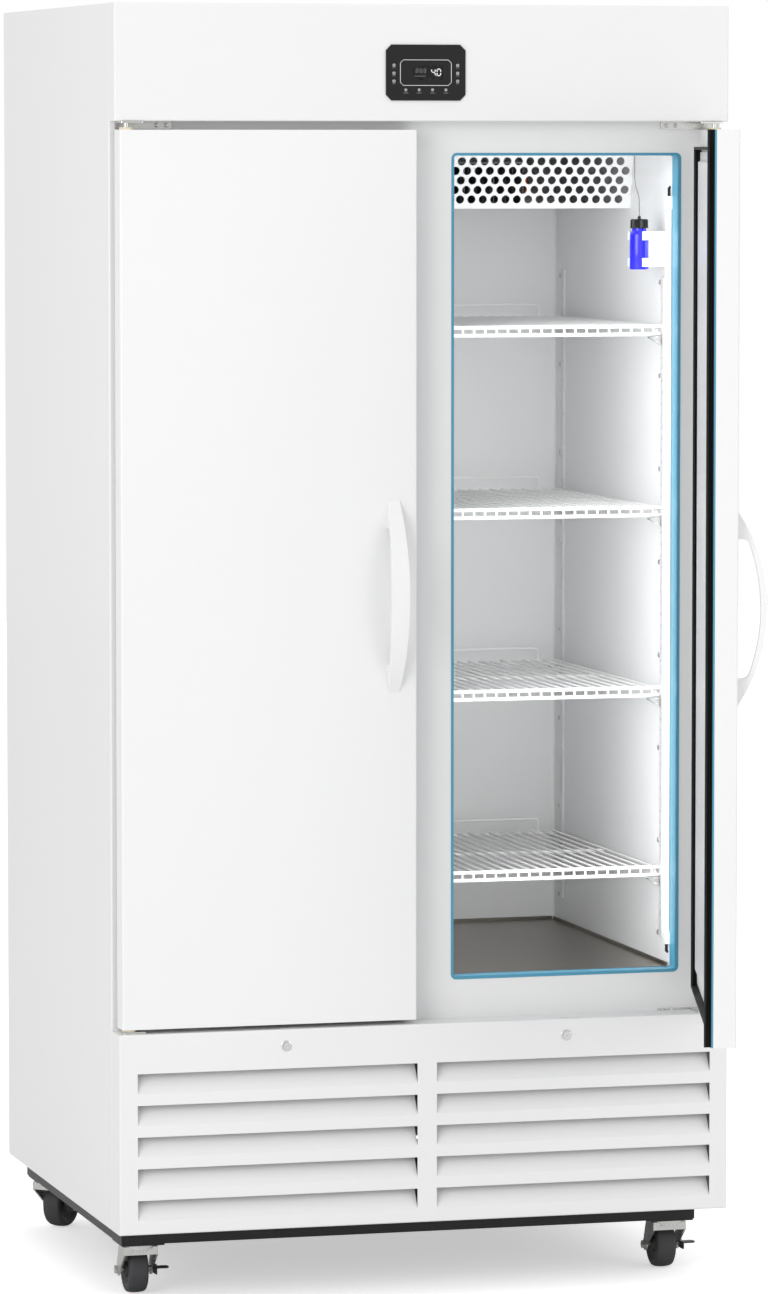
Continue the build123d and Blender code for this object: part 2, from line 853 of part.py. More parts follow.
def shelf(top):
    """A wire shelf of the right column: wires welded on rails, a doubled front and a rear stop."""
    rail = 2 * shelf_rail_radius
    wire = 2 * shelf_wire_radius
    near = front + shelf_front + shelf_rail_radius
    far = interior_back - shelf_back_gap - shelf_rail_radius
    length = shelf_outer - shelf_inner
    centre = (shelf_outer + shelf_inner) / 2
    rail_z = top - shelf_rest_drop() + shelf_rail_radius
    low_rail_z = top - shelf_truss_height + shelf_rail_radius
    wires = 2 * math.floor(length / 2 / standard_pitch)
    rails = [(near, low_rail_z), (near, top - shelf_rail_radius), ((near + far) / 2, rail_z), (far, rail_z)]
    with BuildPart() as rack:
        with BuildSketch(facing(near + shelf_rail_radius)):
            with Locations((centre, top - shelf_wire_radius)):
                with GridLocations(standard_pitch, 0, wires, 1):
                    Rectangle(wire, wire)
        extrude(amount=near - far)
        with BuildSketch(Plane.YZ.offset(shelf_inner)):
            with Locations(rails):
                Rectangle(rail, rail)
        extrude(amount=length)
        with BuildSketch(facing(near)):
            with Locations((centre, rail_z)):
                with GridLocations(length - 2 * shelf_side_inset, 0, 2, 1):
                    Rectangle(rail, rail)
        extrude(amount=near - far)
        with BuildSketch(Plane.XY.offset(low_rail_z)):
            with Locations((centre, near)):
                with GridLocations((length - rail) / (shelf_truss_posts - 1), 0, shelf_truss_posts, 1):
                    Rectangle(wire, wire)
        extrude(amount=shelf_truss_height - rail)
    half = shelf_stop_pitches * standard_pitch
    with BuildPart() as stop:
        with BuildSketch(facing(far - shelf_wire_radius)):
            with BuildLine():
                foot = rail_z + shelf_rail_radius
                head = top + shelf_stop_rise
                Polyline((centre - half, foot), (centre - half, head), (centre + half, head), (centre + half, foot))
                offset(amount=shelf_wire_radius, kind=Kind.INTERSECTION, side=Side.BOTH)
            make_face()
        extrude(amount=-wire)
    return group([rack.part, stop.part])


# Probe


def probe_bottle():
    """The bottle of coolant that buffers the temperature probe."""
    with BuildPart() as bottle:
        with BuildSketch(Plane.XY.offset(bottle_bottom)):
            with Locations((bottle_x, bottle_y)):
                Circle(bottle_radius)
        extrude(amount=bottle_height - seat)
        chamfer(bottle.faces().sort_by(Axis.Z)[0].edges(), bottle_foot_chamfer)
    return bottle.part


def probe_bottle_cap():
    """The black screw cap with a gland for the probe wire."""
    with BuildPart() as cap:
        with BuildSketch(Plane.XY.offset(bottle_bottom + bottle_height - seat)):
            with Locations((bottle_x, bottle_y)):
                RegularPolygon(cap_radius, 12)
        extrude(amount=cap_height - gland_rise)
        with BuildSketch(Plane.XY.offset(bottle_bottom + bottle_height + cap_height - gland_rise - seat)):
            with Locations((bottle_x, bottle_y)):
                RegularPolygon(cap_gland_radius, 8)
        extrude(amount=gland_rise)
    return cap.part


def bottle_bracket():
    """The white bracket on the wall: a plate, a full-height web and two prongs that hook round the bottle."""
    ring = bottle_radius + seat
    reach = ring + bracket_thickness
    middle = bottle_bottom + bottle_height / 2 - seat
    low = middle - bracket_height / 2
    wall = interior_half - standard_thickness
    web_start = bottle_x + ring
    with BuildPart() as bracket:
        with BuildSketch(Plane.XY.offset(low)):
            with Locations(((web_start + wall) / 2, bottle_y)):
                Rectangle(wall - web_start, bracket_thickness)
            with Locations((wall - bracket_thickness / 2, bottle_y)):
                Rectangle(bracket_thickness, bracket_web_width)
        extrude(amount=bracket_height)
        for z in (low, low + bracket_height - bracket_arm_height):
            with BuildSketch(Plane.XY.offset(z)):
                with Locations((bottle_x, bottle_y)):
                    Circle(reach)
                    Circle(ring, mode=Mode.SUBTRACT)
                with Locations((bottle_x - reach / 2, bottle_y - reach + bracket_mouth / 2)):
                    Rectangle(reach, bracket_mouth, mode=Mode.SUBTRACT)
            extrude(amount=bracket_arm_height)
    return bracket.part


def probe_wire():
    """The probe lead: up from the cap, over in two bends and on to the ceiling."""
    start_z = bottle_bottom + bottle_height + cap_height - seat
    with BuildPart() as wire:
        with BuildLine(facing(bottle_y)) as path:
            rise = Line((bottle_x, start_z), (bottle_x, start_z + wire_straight))
            over = JernArc(rise @ 1, rise % 1, wire_bend_radius, wire_bend)
            under = JernArc(over @ 1, over % 1, wire_bend_radius, -wire_bend)
            Line(under @ 1, (under @ 1) + Vector(0, 0, interior_top - (under @ 1).Z))
        with BuildSketch(Plane(origin=path.line @ 0, z_dir=path.line % 0)):
            RegularPolygon(probe_wire_radius, 6)
        sweep(path=path.line)
    return wire.part


# Refrigeration unit


def compressor():
    """The domed compressor shell on its foot plate, with the lid over its terminals."""
    x, y = compressor_place()
    low = cabinet_bottom + compressor_foot
    top = low + compressor_height
    with BuildPart() as shell:
        with BuildSketch(Plane.XY.offset(cabinet_bottom)):
            with Locations((x, y)):
                Rectangle(2 * compressor_radius, compressor_foot_depth)
        extrude(amount=compressor_foot)
        with BuildSketch(Plane.XZ.offset(-y)):
            with BuildLine():
                Polyline(
                    (x, low),
                    (x + compressor_radius, low),
                    (x + compressor_radius, top - compressor_dome),
                    (x + compressor_crown_radius, top),
                    (x, top),
                    close=True,
                )
            make_face()
        revolve(axis=Axis((x, y, 0), (0, 0, 1)))
        with BuildSketch(facing(y)):
            with Locations((x, low + compressor_height / 2)):
                Rectangle(terminal_lid_width, terminal_lid_height)
        extrude(amount=compressor_radius + terminal_lid_reach)
    return shell.part


def compressor_place():
    """Where the compressor stands on the deck."""
    return compressor_offset, front + cabinet_depth / 2


def condenser_middle():
    """X of the condenser and height of its fan."""
    return -condenser_width / 2 - machine_gap, cabinet_bottom + condenser_height / 2


def condenser_motor_front():
    """Depth of the front of the condenser fan's motor."""
    return base_front + condenser_stand_off + condenser_depth + condenser_fan_room


def condenser_coil():
    """The finned condenser with its headers, and behind it the fan's motor on a post."""
    x, z = condenser_middle()
    near = base_front + condenser_stand_off
    spacing = (condenser_width - coil_fin_thickness) / (condenser_fins - 1)
    motor_front = condenser_motor_front()
    with BuildPart() as block:
        with Locations((x, near + condenser_depth / 2, z)):
            with GridLocations(spacing, 0, condenser_fins, 1):
                Box(coil_fin_thickness, condenser_depth, condenser_height - 2 * header_bar)
            for side in (-1, 1):
                with Locations((0, 0, side * (condenser_height - header_bar) / 2)):
                    Box(condenser_width, condenser_depth, header_bar)
    with BuildPart() as motor:
        with BuildSketch(facing(motor_front)):
            with Locations((x, z)):
                RegularPolygon(condenser_motor_radius, 8)
        extrude(amount=-condenser_motor_depth)
        with BuildSketch(facing(motor_front)):
            with Locations((x, z)):
                Circle(pin_radius)
        extrude(amount=fan_hub_depth)
        with BuildSketch(Plane.XY.offset(cabinet_bottom)):
            with Locations((x, motor_front + condenser_motor_depth / 2)):
                Rectangle(condenser_post_width, header_bar)
        extrude(amount=condenser_height / 2)
    return group([block.part, motor.part])


# Locks


def key_lock(x):
    """A lock plug with its keyway and the cam behind the panel."""
    with BuildPart() as lock:
        with BuildSketch(facing(panel_face - seat)):
            with Locations((x, lock_height)):
                Circle(lock_radius)
        extrude(amount=lock_proud)
        with BuildSketch(facing(panel_face - seat)):
            with Locations((x, lock_height)):
                RegularPolygon(lock_shank_radius, 8)
        extrude(amount=-lock_length)
        with BuildSketch(facing(panel_face + lock_cam_depth)) as cam:
            with Locations((x + lock_cam_length / 2 - lock_cam_width / 4, lock_height)):
                Rectangle(lock_cam_length + lock_cam_width / 2, lock_cam_width)
            chamfer(cam.vertices(), lock_cam_chamfer)
        extrude(amount=-lock_cam_thickness)
        with BuildSketch(facing(panel_face - seat - lock_proud)):
            with Locations((x, lock_height)):
                Rectangle(lock_radius, keyway_width)
        extrude(amount=-lock_proud, mode=Mode.SUBTRACT)
    return lock.part


# Doors, drawn closed on the right-hand side


def door_skin():
    """The foamed door panel with rolled front edges and square pockets for the bushings."""
    with BuildPart() as panel:
        with BuildSketch(Plane.XY.offset(door_bottom)) as plan:
            with Locations((door_centre, front - door_face + door_thickness / 2)):
                Rectangle(door_width, door_thickness)
            fillet(plan.vertices().group_by(Axis.Y)[0], door_edge_radius)
        extrude(amount=door_height)
        for z, depth in ((door_bottom, bushing_depth), (door_top, -bushing_depth)):
            with BuildSketch(Plane.XY.offset(z)):
                with Locations((pivot_x, pivot_y)):
                    Rectangle(bushing_side, bushing_side)
            extrude(amount=depth, mode=Mode.SUBTRACT)
    return panel.part


def gasket_frame():
    """Centre and size of the gasket ring as seen from the front."""
    left = door_edge - door_width + gasket_free_inset
    right = door_edge - gasket_hinge_inset
    low = door_bottom + gasket_foot_inset
    high = door_top - gasket_head_inset
    return ((left + right) / 2, (low + high) / 2), right - left, high - low


def door_liner():
    """The white inner panel with its raised middle, inside the gasket."""
    middle, width, height = gasket_frame()
    inset = 2 * (gasket_width + seat)
    plane_y = front - door_face + door_thickness
    with BuildPart() as liner:
        with BuildSketch(facing(plane_y)):
            with Locations(middle):
                Rectangle(width - inset, height - inset)
        extrude(amount=-door_liner_sheet)
        with BuildSketch(facing(plane_y + door_liner_sheet)):
            with Locations((opening_centre, opening_middle)):
                Rectangle(opening_width - inset, opening_height - inset)
        extrude(amount=-door_liner_depth, taper=liner_draft)
    return liner.part


def door_gasket():
    """The magnetic gasket: a clip-in base, a thin bellows and the magnet bulb, with a strip at the free edge."""
    middle, width, height = gasket_frame()
    plane_y = front - door_face + door_thickness
    steps = (
        (0, gasket_base, 0),
        (gasket_base, gasket_neck_depth, gasket_neck_inset),
        (gasket_base + gasket_neck_depth, gasket_depth - gasket_base - gasket_neck_depth, 1),
    )
    strip_x = middle[0] - width / 2 + gasket_width / 2
    with BuildPart() as seal:
        for depth, thickness, inset in steps:
            with BuildSketch(facing(plane_y + depth)):
                with Locations(middle):
                    Rectangle(width - 2 * inset, height - 2 * inset)
                    inner = 2 * (gasket_width - inset)
                    Rectangle(width - inner, height - inner, mode=Mode.SUBTRACT)
                with Locations((strip_x, door_middle)):
                    Rectangle(gasket_width - 2 * inset, door_height)
            extrude(amount=-thickness)
    return seal.part


def door_handle():
    """The bow handle: an arched grip, widest in the middle, between two flat feet."""
    x = door_edge - door_width + handle_centre_inset
    face = front - door_face
    half = handle_length / 2
    opening = half - handle_foot
    with BuildPart() as handle:
        with BuildSketch(Plane.YZ.offset(x - handle_middle_width / 2)):
            with BuildLine():
                ThreePointArc((face, handle_height - half), (face - handle_reach, handle_height),
                              (face, handle_height + half))
                Line((face, handle_height + half), (face, handle_height - half))
            make_face()
        extrude(amount=handle_middle_width)
        with BuildSketch(Plane.YZ.offset(x - handle_middle_width / 2)) as grip:
            with BuildLine():
                inner = handle_reach - handle_bar
                ThreePointArc((face, handle_height - half + handle_bar), (face - inner, handle_height),
                              (face, handle_height + half - handle_bar))
                Line((face, handle_height + half - handle_bar), (face, handle_height - half + handle_bar))
            make_face()
            with Locations((face, handle_height)):
                Rectangle(2 * handle_reach, 2 * opening, mode=Mode.INTERSECT)
            fillet(grip.vertices().group_by(Axis.Y)[0], handle_corner)
        extrude(amount=handle_middle_width, mode=Mode.SUBTRACT)
        with BuildSketch(facing(face - handle_reach)):
            with BuildLine():
                end_half = handle_end_width / 2
                ThreePointArc((x - end_half, handle_height + half), (x - handle_middle_width / 2, handle_height),
                              (x - end_half, handle_height - half))
                Line((x - end_half, handle_height - half), (x + end_half, handle_height - half))
                ThreePointArc((x + end_half, handle_height - half), (x + handle_middle_width / 2, handle_height),
                              (x + end_half, handle_height + half))
                Line((x + end_half, handle_height + half), (x - end_half, handle_height + half))
            make_face()
        extrude(amount=-handle_reach, mode=Mode.INTERSECT)
    return handle.part


def door_bushings():
    """Square bushings with round flanges in the top and bottom of the door, bored for the hinge pins."""
    with BuildPart() as bushings:
        for z, side in ((door_bottom, 1), (door_top, -1)):
            with BuildSketch(Plane.XY.offset(z)):
                with Locations((pivot_x, pivot_y)):
                    Rectangle(bushing_side, bushing_side)
            extrude(amount=side * bushing_depth)
            with BuildSketch(Plane.XY.offset(z)):
                with Locations((pivot_x, pivot_y)):
                    Circle(bushing_head_radius)
            extrude(amount=-side * bushing_head)
            with BuildSketch(Plane.XY.offset(z - side * bushing_head)):
                with Locations((pivot_x, pivot_y)):
                    Circle(pin_radius + pin_clearance)
            extrude(amount=side * (bushing_head + bushing_depth), mode=Mode.SUBTRACT)
    return bushings.part


def hinge_brackets():
    """Zinc leaves with their pins above and below each door."""
    with BuildPart() as leaves:
        for z, side in ((panel_top, 1), (header_bottom, -1)):
            with BuildSketch(Plane.XY.offset(z)) as leaf:
                leaf_right = pivot_x + leaf_edge
                with Locations((leaf_right - leaf_length / 2, front - leaf_thickness / 2)):
                    Rectangle(leaf_length, leaf_thickness)
                with Locations((leaf_right - leaf_block / 2, (front + pivot_y - leaf_edge) / 2)):
                    Rectangle(leaf_block, front - pivot_y + leaf_edge)
                fillet(leaf.vertices().group_by(Axis.Y)[0], leaf_thickness)
            extrude(amount=side * leaf_thickness)
            with BuildSketch(Plane.XY.offset(z)):
                with Locations((pivot_x, pivot_y)):
                    Circle(pin_radius)
            extrude(amount=side * (leaf_thickness + seat + bushing_head + pin_engagement))
        with BuildSketch(facing(front)):
            with Locations((pivot_x + leaf_edge - leaf_length / 2, header_bottom - bracket_flange / 2)):
                Rectangle(leaf_length, bracket_flange)
        extrude(amount=leaf_thickness)
    return group([leaves.part, mirrored(leaves.part)])


# Casters, drawn under the origin and trailing to the back


def caster_places():
    """Kingpin positions as (x, y)."""
    x = half_width - caster_side_inset
    return [(-x, front + caster_end_inset), (x, front + caster_end_inset),
            (-x, back - caster_end_inset), (x, back - caster_end_inset)]


def caster_yoke():
    """The swivel head with its two fork legs, and the axle bolt with its nut."""
    with BuildPart() as fork:
        with BuildSketch(Plane.XY.offset(raceway_bottom)):
            Circle(raceway_radius)
        extrude(amount=raceway_height)
        for side in (-1, 1):
            with BuildSketch(Plane.YZ.offset(side * (fork_width - fork_sheet) / 2 - fork_sheet / 2)):
                with BuildLine():
                    Polyline(
                        (-fork_reach, raceway_bottom + raceway_neck),
                        (fork_reach, raceway_bottom + raceway_neck),
                        (caster_trail + fork_boss_radius, wheel_radius),
                        (caster_trail - fork_boss_radius, wheel_radius),
                        (-fork_reach, raceway_bottom - fork_boss_radius),
                        close=True,
                    )
                make_face()
                with Locations((caster_trail, wheel_radius)):
                    Circle(fork_boss_radius)
                    Circle(axle_radius, mode=Mode.SUBTRACT)
            extrude(amount=fork_sheet)
        with BuildSketch(Plane.XY.offset(raceway_bottom)):
            with Locations((0, 0)):
                Rectangle(fork_width, 2 * fork_reach)
        extrude(amount=raceway_neck)
        with BuildSketch(facing(-fork_reach)):
            with Locations((0, raceway_bottom + raceway_neck / 2 - fork_boss_radius / 2)):
                Rectangle(fork_width, raceway_neck + fork_boss_radius)
        extrude(amount=-fork_sheet)
        with BuildSketch(Plane.XY.offset(raceway_bottom)):
            Circle(kingpin_radius + running_gap)
        extrude(amount=raceway_height, mode=Mode.SUBTRACT)
    bolt_reach = fork_width / 2 + pedal_sheet + seat
    with BuildPart() as bolt:
        with BuildSketch(Plane.YZ.offset(-fork_width / 2)):
            with Locations((caster_trail, wheel_radius)):
                Circle(axle_radius)
        extrude(amount=fork_width / 2 + bolt_reach)
        with BuildSketch(Plane.YZ.offset(-fork_width / 2)):
            with Locations((caster_trail, wheel_radius)):
                RegularPolygon(nut_radius, 6)
        extrude(amount=-nut_height)
        with BuildSketch(Plane.YZ.offset(bolt_reach)):
            with Locations((caster_trail, wheel_radius)):
                RegularPolygon(nut_radius, 6)
        extrude(amount=nut_height)
    return group([fork.part, bolt.part])


def caster_wheel():
    """The rubber tyre with its crowned tread, recessed sides and bored hub."""
    half = wheel_width / 2
    bore = axle_radius + running_gap
    side_profile = [
        (bore, hub_half_width),
        (hub_radius, hub_half_width),
        (hub_radius, half - hub_recess),
        (wheel_radius - hub_step, half - hub_recess),
        (wheel_radius - tyre_wall, half),
        (wheel_radius - tread_drop, half),
        (wheel_radius, tread_width / 2),
    ]
    with BuildPart() as wheel:
        with BuildSketch(Plane.XY):
            with BuildLine():
                Polyline(side_profile + [(radius, -reach) for radius, reach in reversed(side_profile)], close=True)
            make_face()
        revolve(axis=Axis.Y)
    return Location((0, caster_trail, wheel_radius)) * (Rotation(0, 0, 90) * wheel.part)


def brake_pedal():
    """The side brake: a boss on the axle bolt, an arm along the fork and a toe tab."""
    with BuildPart() as pedal:
        with BuildSketch(Plane.YZ.offset(fork_width / 2 + seat / 2)):
            with Locations((caster_trail, wheel_radius)):
                Circle(pedal_boss_radius)
            with Locations((caster_trail - pedal_arm / 2, wheel_radius)):
                Rectangle(pedal_arm, pedal_arm_height)
            with Locations((caster_trail, wheel_radius)):
                Circle(axle_radius + running_gap, mode=Mode.SUBTRACT)
        extrude(amount=pedal_sheet)
        with BuildSketch(Plane.XY.offset(wheel_radius + pedal_arm_height / 2 - pedal_sheet)) as tab:
            reach = pedal_tab_reach + pedal_sheet
            middle = (fork_width / 2 + seat / 2 + reach / 2, caster_trail - pedal_arm + pedal_tab_length / 2)
            with Locations(middle):
                Rectangle(reach, pedal_tab_length)
            chamfer(tab.vertices().group_by(Axis.X)[-1], pedal_tab_chamfer)
        extrude(amount=pedal_sheet)
    return pedal.part


# Every piece in its place

save(side_panel(-1), "left_side_panel")
save(side_panel(1), "right_side_panel")
save(top_panel(), "top_panel")
save(rear_panel(), "rear_panel")
save(insulation(), "insulation")
save(inner_liner(), "inner_liner")
save(face_frame(), "face_frame")
save(breaker_strips(), "breaker_strips")
save(floor_pan(), "floor_pan")
save(header_panel(), "header_panel")
save(lower_panel(), "lower_panel")
save(base_frame(), "base_frame")
save(controller_housing(), "controller_housing")
save(controller_window(), "controller_window")
save(light_strips(), "light_strips")
save(evaporator_cover(), "evaporator_cover")
save(evaporator_coil(), "evaporator_coil")
save(shelf_standards(), "shelf_standards")
save(shelf_clips(), "shelf_clips")
save(probe_bottle(), "probe_bottle")
save(probe_bottle_cap(), "probe_bottle_cap")
save(bottle_bracket(), "bottle_bracket")
save(probe_wire(), "probe_wire")
save(compressor(), "compressor")
save(condenser_coil(), "condenser_coil")
save(hinge_brackets(), "hinge_brackets")
save(key_lock(-lock_x), "left_lock")
save(key_lock(lock_x), "right_lock")

evaporator_place = (0, cover_bottom + sheet + coil_height / 2)
evaporator_nose = hub_nose(evaporator_motor_front())
condenser_nose = hub_nose(condenser_motor_front())
save(
    fan(evaporator_fan_radius, evaporator_blade_root, evaporator_blade_tip, evaporator_nose, evaporator_place),
    "evaporator_fan",
)
save(
    fan(condenser_fan_radius, condenser_blade_root, condenser_blade_tip, condenser_nose, condenser_middle()),
    "condenser_fan",
)

for level, top in enumerate(shelf_tops, start=1):
    rack = shelf(top)
    save(mirrored(rack), f"left_shelf_{level}")
    save(rack, f"right_shelf_{level}")

door_pieces = {
    "skin": door_skin(),
    "liner": door_liner(),
    "gasket": door_gasket(),
    "handle": door_handle(),
    "bushings": door_bushings(),
}
for name, piece in door_pieces.items():
    save(mirrored(piece), f"left_door_{name}")
    save(piece.rotate(pivot_axis, open_angle), f"right_door_{name}")

caster_pieces = {"yoke": caster_yoke(), "wheel": caster_wheel(), "pedal": brake_pedal()}
for (corner, swivel), (x, y) in zip(caster_swivels.items(), caster_places()):
    for name, piece in caster_pieces.items():
        save(Location((x, y, 0), (0, 0, swivel)) * piece, f"caster_{corner}_{name}")

wire_length = wire_straight + 2 * math.radians(wire_bend) * wire_bend_radius
print("front plane y", round(front, 3), "pivot", round(pivot_x, 3), round(pivot_y, 3))
print("locks x", lock_x, "z", round(lock_height, 3), "y", round(panel_face, 3))
print("fans", evaporator_place, evaporator_nose, condenser_middle(), condenser_nose)
print("casters", [(round(x, 3), round(y, 3)) for x, y in caster_places()])
print("probe wire", bottle_x, bottle_y, "bend radius", wire_bend_radius, "bends length", round(wire_length, 2))
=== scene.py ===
import math

import bmesh
import bpy
from mathutils import Matrix, Vector


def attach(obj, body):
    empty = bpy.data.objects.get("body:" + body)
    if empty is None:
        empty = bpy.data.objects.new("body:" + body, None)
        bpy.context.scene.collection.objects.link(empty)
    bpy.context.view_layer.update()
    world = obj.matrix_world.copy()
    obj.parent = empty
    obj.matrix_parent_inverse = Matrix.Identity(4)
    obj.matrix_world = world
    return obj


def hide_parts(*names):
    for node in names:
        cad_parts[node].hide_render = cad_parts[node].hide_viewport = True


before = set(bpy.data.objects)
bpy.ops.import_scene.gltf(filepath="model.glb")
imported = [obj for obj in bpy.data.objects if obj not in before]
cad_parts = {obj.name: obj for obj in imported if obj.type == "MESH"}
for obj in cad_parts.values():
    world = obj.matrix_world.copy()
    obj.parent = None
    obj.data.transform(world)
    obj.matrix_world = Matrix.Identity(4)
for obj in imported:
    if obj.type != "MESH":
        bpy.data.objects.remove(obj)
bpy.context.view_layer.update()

ALONG_X, ALONG_Y, ALONG_Z = Vector((1, 0, 0)), Vector((0, 1, 0)), Vector((0, 0, 1))
WHITE = (1, 1, 1, 1)
SIDES = (("left", -1), ("right", 1))

# Measured places of the cabinet in metres, in the frame of the CAD model.
FRONT = -0.161217
BACK = FRONT + 0.8
WALL = 0.436
CEILING = 1.85
COVER_FOOT = 1.7435
CONTROL_FACE = FRONT - 0.0425 - 0.0022

# The right door's hinge pin and how far the door stands open, and both doors' height and handles.
PIVOT = (0.4857, FRONT - 0.034)
OPEN = math.radians(74.6)
DOOR_FOOT, DOOR_HEAD = 0.4485, 1.8715
HANDLE_X, HANDLE_Z = 0.054, 1.1305

# The slots' pitch is the pitch of the shelves' wires too.
PITCH = 0.01905
STANDARD_YS = (FRONT + 0.075, FRONT + 0.634)
STANDARD_FOOT = 0.552
POST_FOOT = 0.5092
SHELF_TOPS = [0.670 + 0.2954 * i for i in range(4)]

# Each caster's kingpin and its turn in degrees.
CASTERS = {
    "front_left": (-0.446, FRONT + 0.076, 0),
    "front_right": (0.446, FRONT + 0.076, 0),
    "rear_left": (-0.446, BACK - 0.076, -43),
    "rear_right": (0.446, BACK - 0.076, 20),
}


# Materials

def srgb(r, g, b):
    """A colour from 0 to 255 values, in linear light."""
    def one(v):
        v /= 255
        return v / 12.92 if v <= 0.04045 else ((v + 0.055) / 1.055) ** 2.4
    return (one(r), one(g), one(b), 1)


def material(name, color, rough=0.4, metal=0.0, grain=300, bump=0.05, depth=0.0002, vary=0.03, wide=6,
             stretch=(1, 1, 1), coat=0.0, emission=None, spec=0.5, transmission=0.0):
    """A surface with fine relief, a slow change of tone and a roughness that wanders."""
    coat_rough, index, rough_vary, least_rough, lighter = 0.12, 1.45, 0.06, 0.02, 0.6
    m = bpy.data.materials.new(name)
    m.use_nodes = True
    nodes, links = m.node_tree.nodes, m.node_tree.links
    p = nodes["Principled BSDF"]
    p.inputs["Metallic"].default_value = metal
    p.inputs["Specular IOR Level"].default_value = spec
    p.inputs["Coat Weight"].default_value = coat
    p.inputs["Coat Roughness"].default_value = coat_rough
    p.inputs["Transmission Weight"].default_value = transmission
    p.inputs["IOR"].default_value = index
    at = nodes.new("ShaderNodeTexCoord")
    place = nodes.new("ShaderNodeMapping")
    place.inputs["Scale"].default_value = stretch
    links.new(at.outputs["Object"], place.inputs["Vector"])
    fine = nodes.new("ShaderNodeTexNoise")
    fine.inputs["Scale"].default_value = grain
    fine.inputs["Detail"].default_value = 4
    slow = nodes.new("ShaderNodeTexNoise")
    slow.inputs["Scale"].default_value = wide
    slow.inputs["Detail"].default_value = 3
    for n in (fine, slow):
        links.new(place.outputs["Vector"], n.inputs["Vector"])
    tone = nodes.new("ShaderNodeMix")
    tone.data_type = "RGBA"
    dark = tuple(c * (1 - vary) for c in color[:3]) + (1,)
    light = tuple(min(1, c * (1 + vary * lighter)) for c in color[:3]) + (1,)
    tone.inputs[6].default_value = dark
    tone.inputs[7].default_value = light
    links.new(slow.outputs["Fac"], tone.inputs[0])
    links.new(tone.outputs[2], p.inputs["Base Color"])
    spread = nodes.new("ShaderNodeMapRange")
    spread.inputs["To Min"].default_value = max(least_rough, rough - rough_vary)
    spread.inputs["To Max"].default_value = min(1, rough + rough_vary)
    links.new(fine.outputs["Fac"], spread.inputs["Value"])
    links.new(spread.outputs["Result"], p.inputs["Roughness"])
    relief = nodes.new("ShaderNodeBump")
    relief.inputs["Strength"].default_value = bump
    relief.inputs["Distance"].default_value = depth
    links.new(fine.outputs["Fac"], relief.inputs["Height"])
    links.new(relief.outputs["Normal"], p.inputs["Normal"])
    if emission:
        p.inputs["Emission Color"].default_value = emission[0]
        p.inputs["Emission Strength"].default_value = emission[1]
    return m


ENAMEL = material("white_enamel", (0.80, 0.80, 0.80, 1), 0.34,
                  grain=700, bump=0.10, vary=0.012, wide=2.5, coat=0.15)
DOOR_ENAMEL = material("door_enamel", (0.82, 0.82, 0.82, 1), 0.32,
                       grain=700, bump=0.10, vary=0.012, wide=2, coat=0.15)
LINER = material("liner_white", (0.78, 0.785, 0.79, 1), 0.42, grain=400, bump=0.08, vary=0.015, wide=3)
WIRE = material("coated_wire", (0.84, 0.84, 0.835, 1), 0.3,
                grain=900, bump=0.12, vary=0.02, wide=30, coat=0.3)
HANDLE = material("handle_white", (0.84, 0.84, 0.84, 1), 0.25,
                  grain=900, bump=0.05, vary=0.01, wide=8, coat=0.4)
STEEL = material("brushed_pan", srgb(150, 144, 136), 0.34, 1.0,
                 grain=60, bump=0.16, vary=0.06, wide=5, stretch=(1, 30, 1))
STANDARD = material("standard_zinc", (0.74, 0.745, 0.75, 1), 0.36, 0.35,
                    grain=180, bump=0.12, vary=0.04, wide=20)
GALVANISED = material("galvanised", (0.56, 0.57, 0.58, 1), 0.42, 0.85,
                      grain=70, bump=0.25, vary=0.14, wide=45)
ZINC = material("bright_zinc", (0.62, 0.62, 0.60, 1), 0.26, 0.9, grain=240, bump=0.15, vary=0.08, wide=60)
CHROME = material("chrome", (0.72, 0.72, 0.73, 1), 0.12, 1.0, grain=200, bump=0.04, vary=0.02, wide=60)
BLUE = material("breaker_blue", srgb(78, 150, 178), 0.36, grain=300, bump=0.05, vary=0.05, wide=5)
BLACK_METAL = material("black_enamel", srgb(10, 10, 11), 0.42, grain=500, bump=0.18, vary=0.2, wide=20)
BLACK = material("black_plastic", srgb(14, 14, 15), 0.38, grain=600, bump=0.15, vary=0.15, wide=25)
BEZEL = material("bezel_black", srgb(6, 6, 7), 0.24, grain=900, bump=0.03, vary=0.1, wide=30)
RUBBER = material("gasket_black", srgb(24, 24, 25), 0.6, grain=300, bump=0.2, vary=0.12, wide=12, spec=0.35)
TYRE = material("tyre_grey", srgb(64, 64, 66), 0.62, grain=500, bump=0.35, vary=0.1, wide=60, spec=0.4)
FOAM = material("foam", srgb(225, 205, 160), 0.9, grain=250, bump=0.5, depth=0.001, vary=0.1, wide=14)
CREAM = material("nylon_cream", srgb(226, 216, 190), 0.45, grain=400, bump=0.08, vary=0.05, wide=60)
GLASS = material("window_glass", (0.92, 0.95, 0.97, 1), 0.05,
                 grain=100, bump=0.01, vary=0.01, transmission=1.0)
ALUMINIUM = material("coil_aluminium", (0.6, 0.61, 0.62, 1), 0.4, 0.9,
                     grain=300, bump=0.1, vary=0.08, wide=40)
COPPER = material("copper", srgb(190, 112, 74), 0.3, 1.0, grain=200, bump=0.08, vary=0.12, wide=50)
LAMP = material("lamp_diffuser", (0.86, 0.86, 0.86, 1), 0.3, grain=400, bump=0.03, vary=0.01, wide=4,
                emission=(WHITE, 1.6))
# The white print carries a faint emission: a painted glow that lifts the printed marks and the display's
# figures off the black bezel.
PRINT_WITH_GLOW = material("print_white_with_painted_glow", srgb(226, 228, 230), 0.5, grain=900, bump=0.02, vary=0.03, wide=300,
                 emission=(WHITE, 0.25))
PRINT_GREY = material("print_grey", srgb(120, 122, 124), 0.5, grain=900, bump=0.02, vary=0.06, wide=300)
LIQUID = material("blue_liquid", srgb(34, 30, 214), 0.16, grain=60, bump=0.02, vary=0.12, wide=18, coat=0.6)
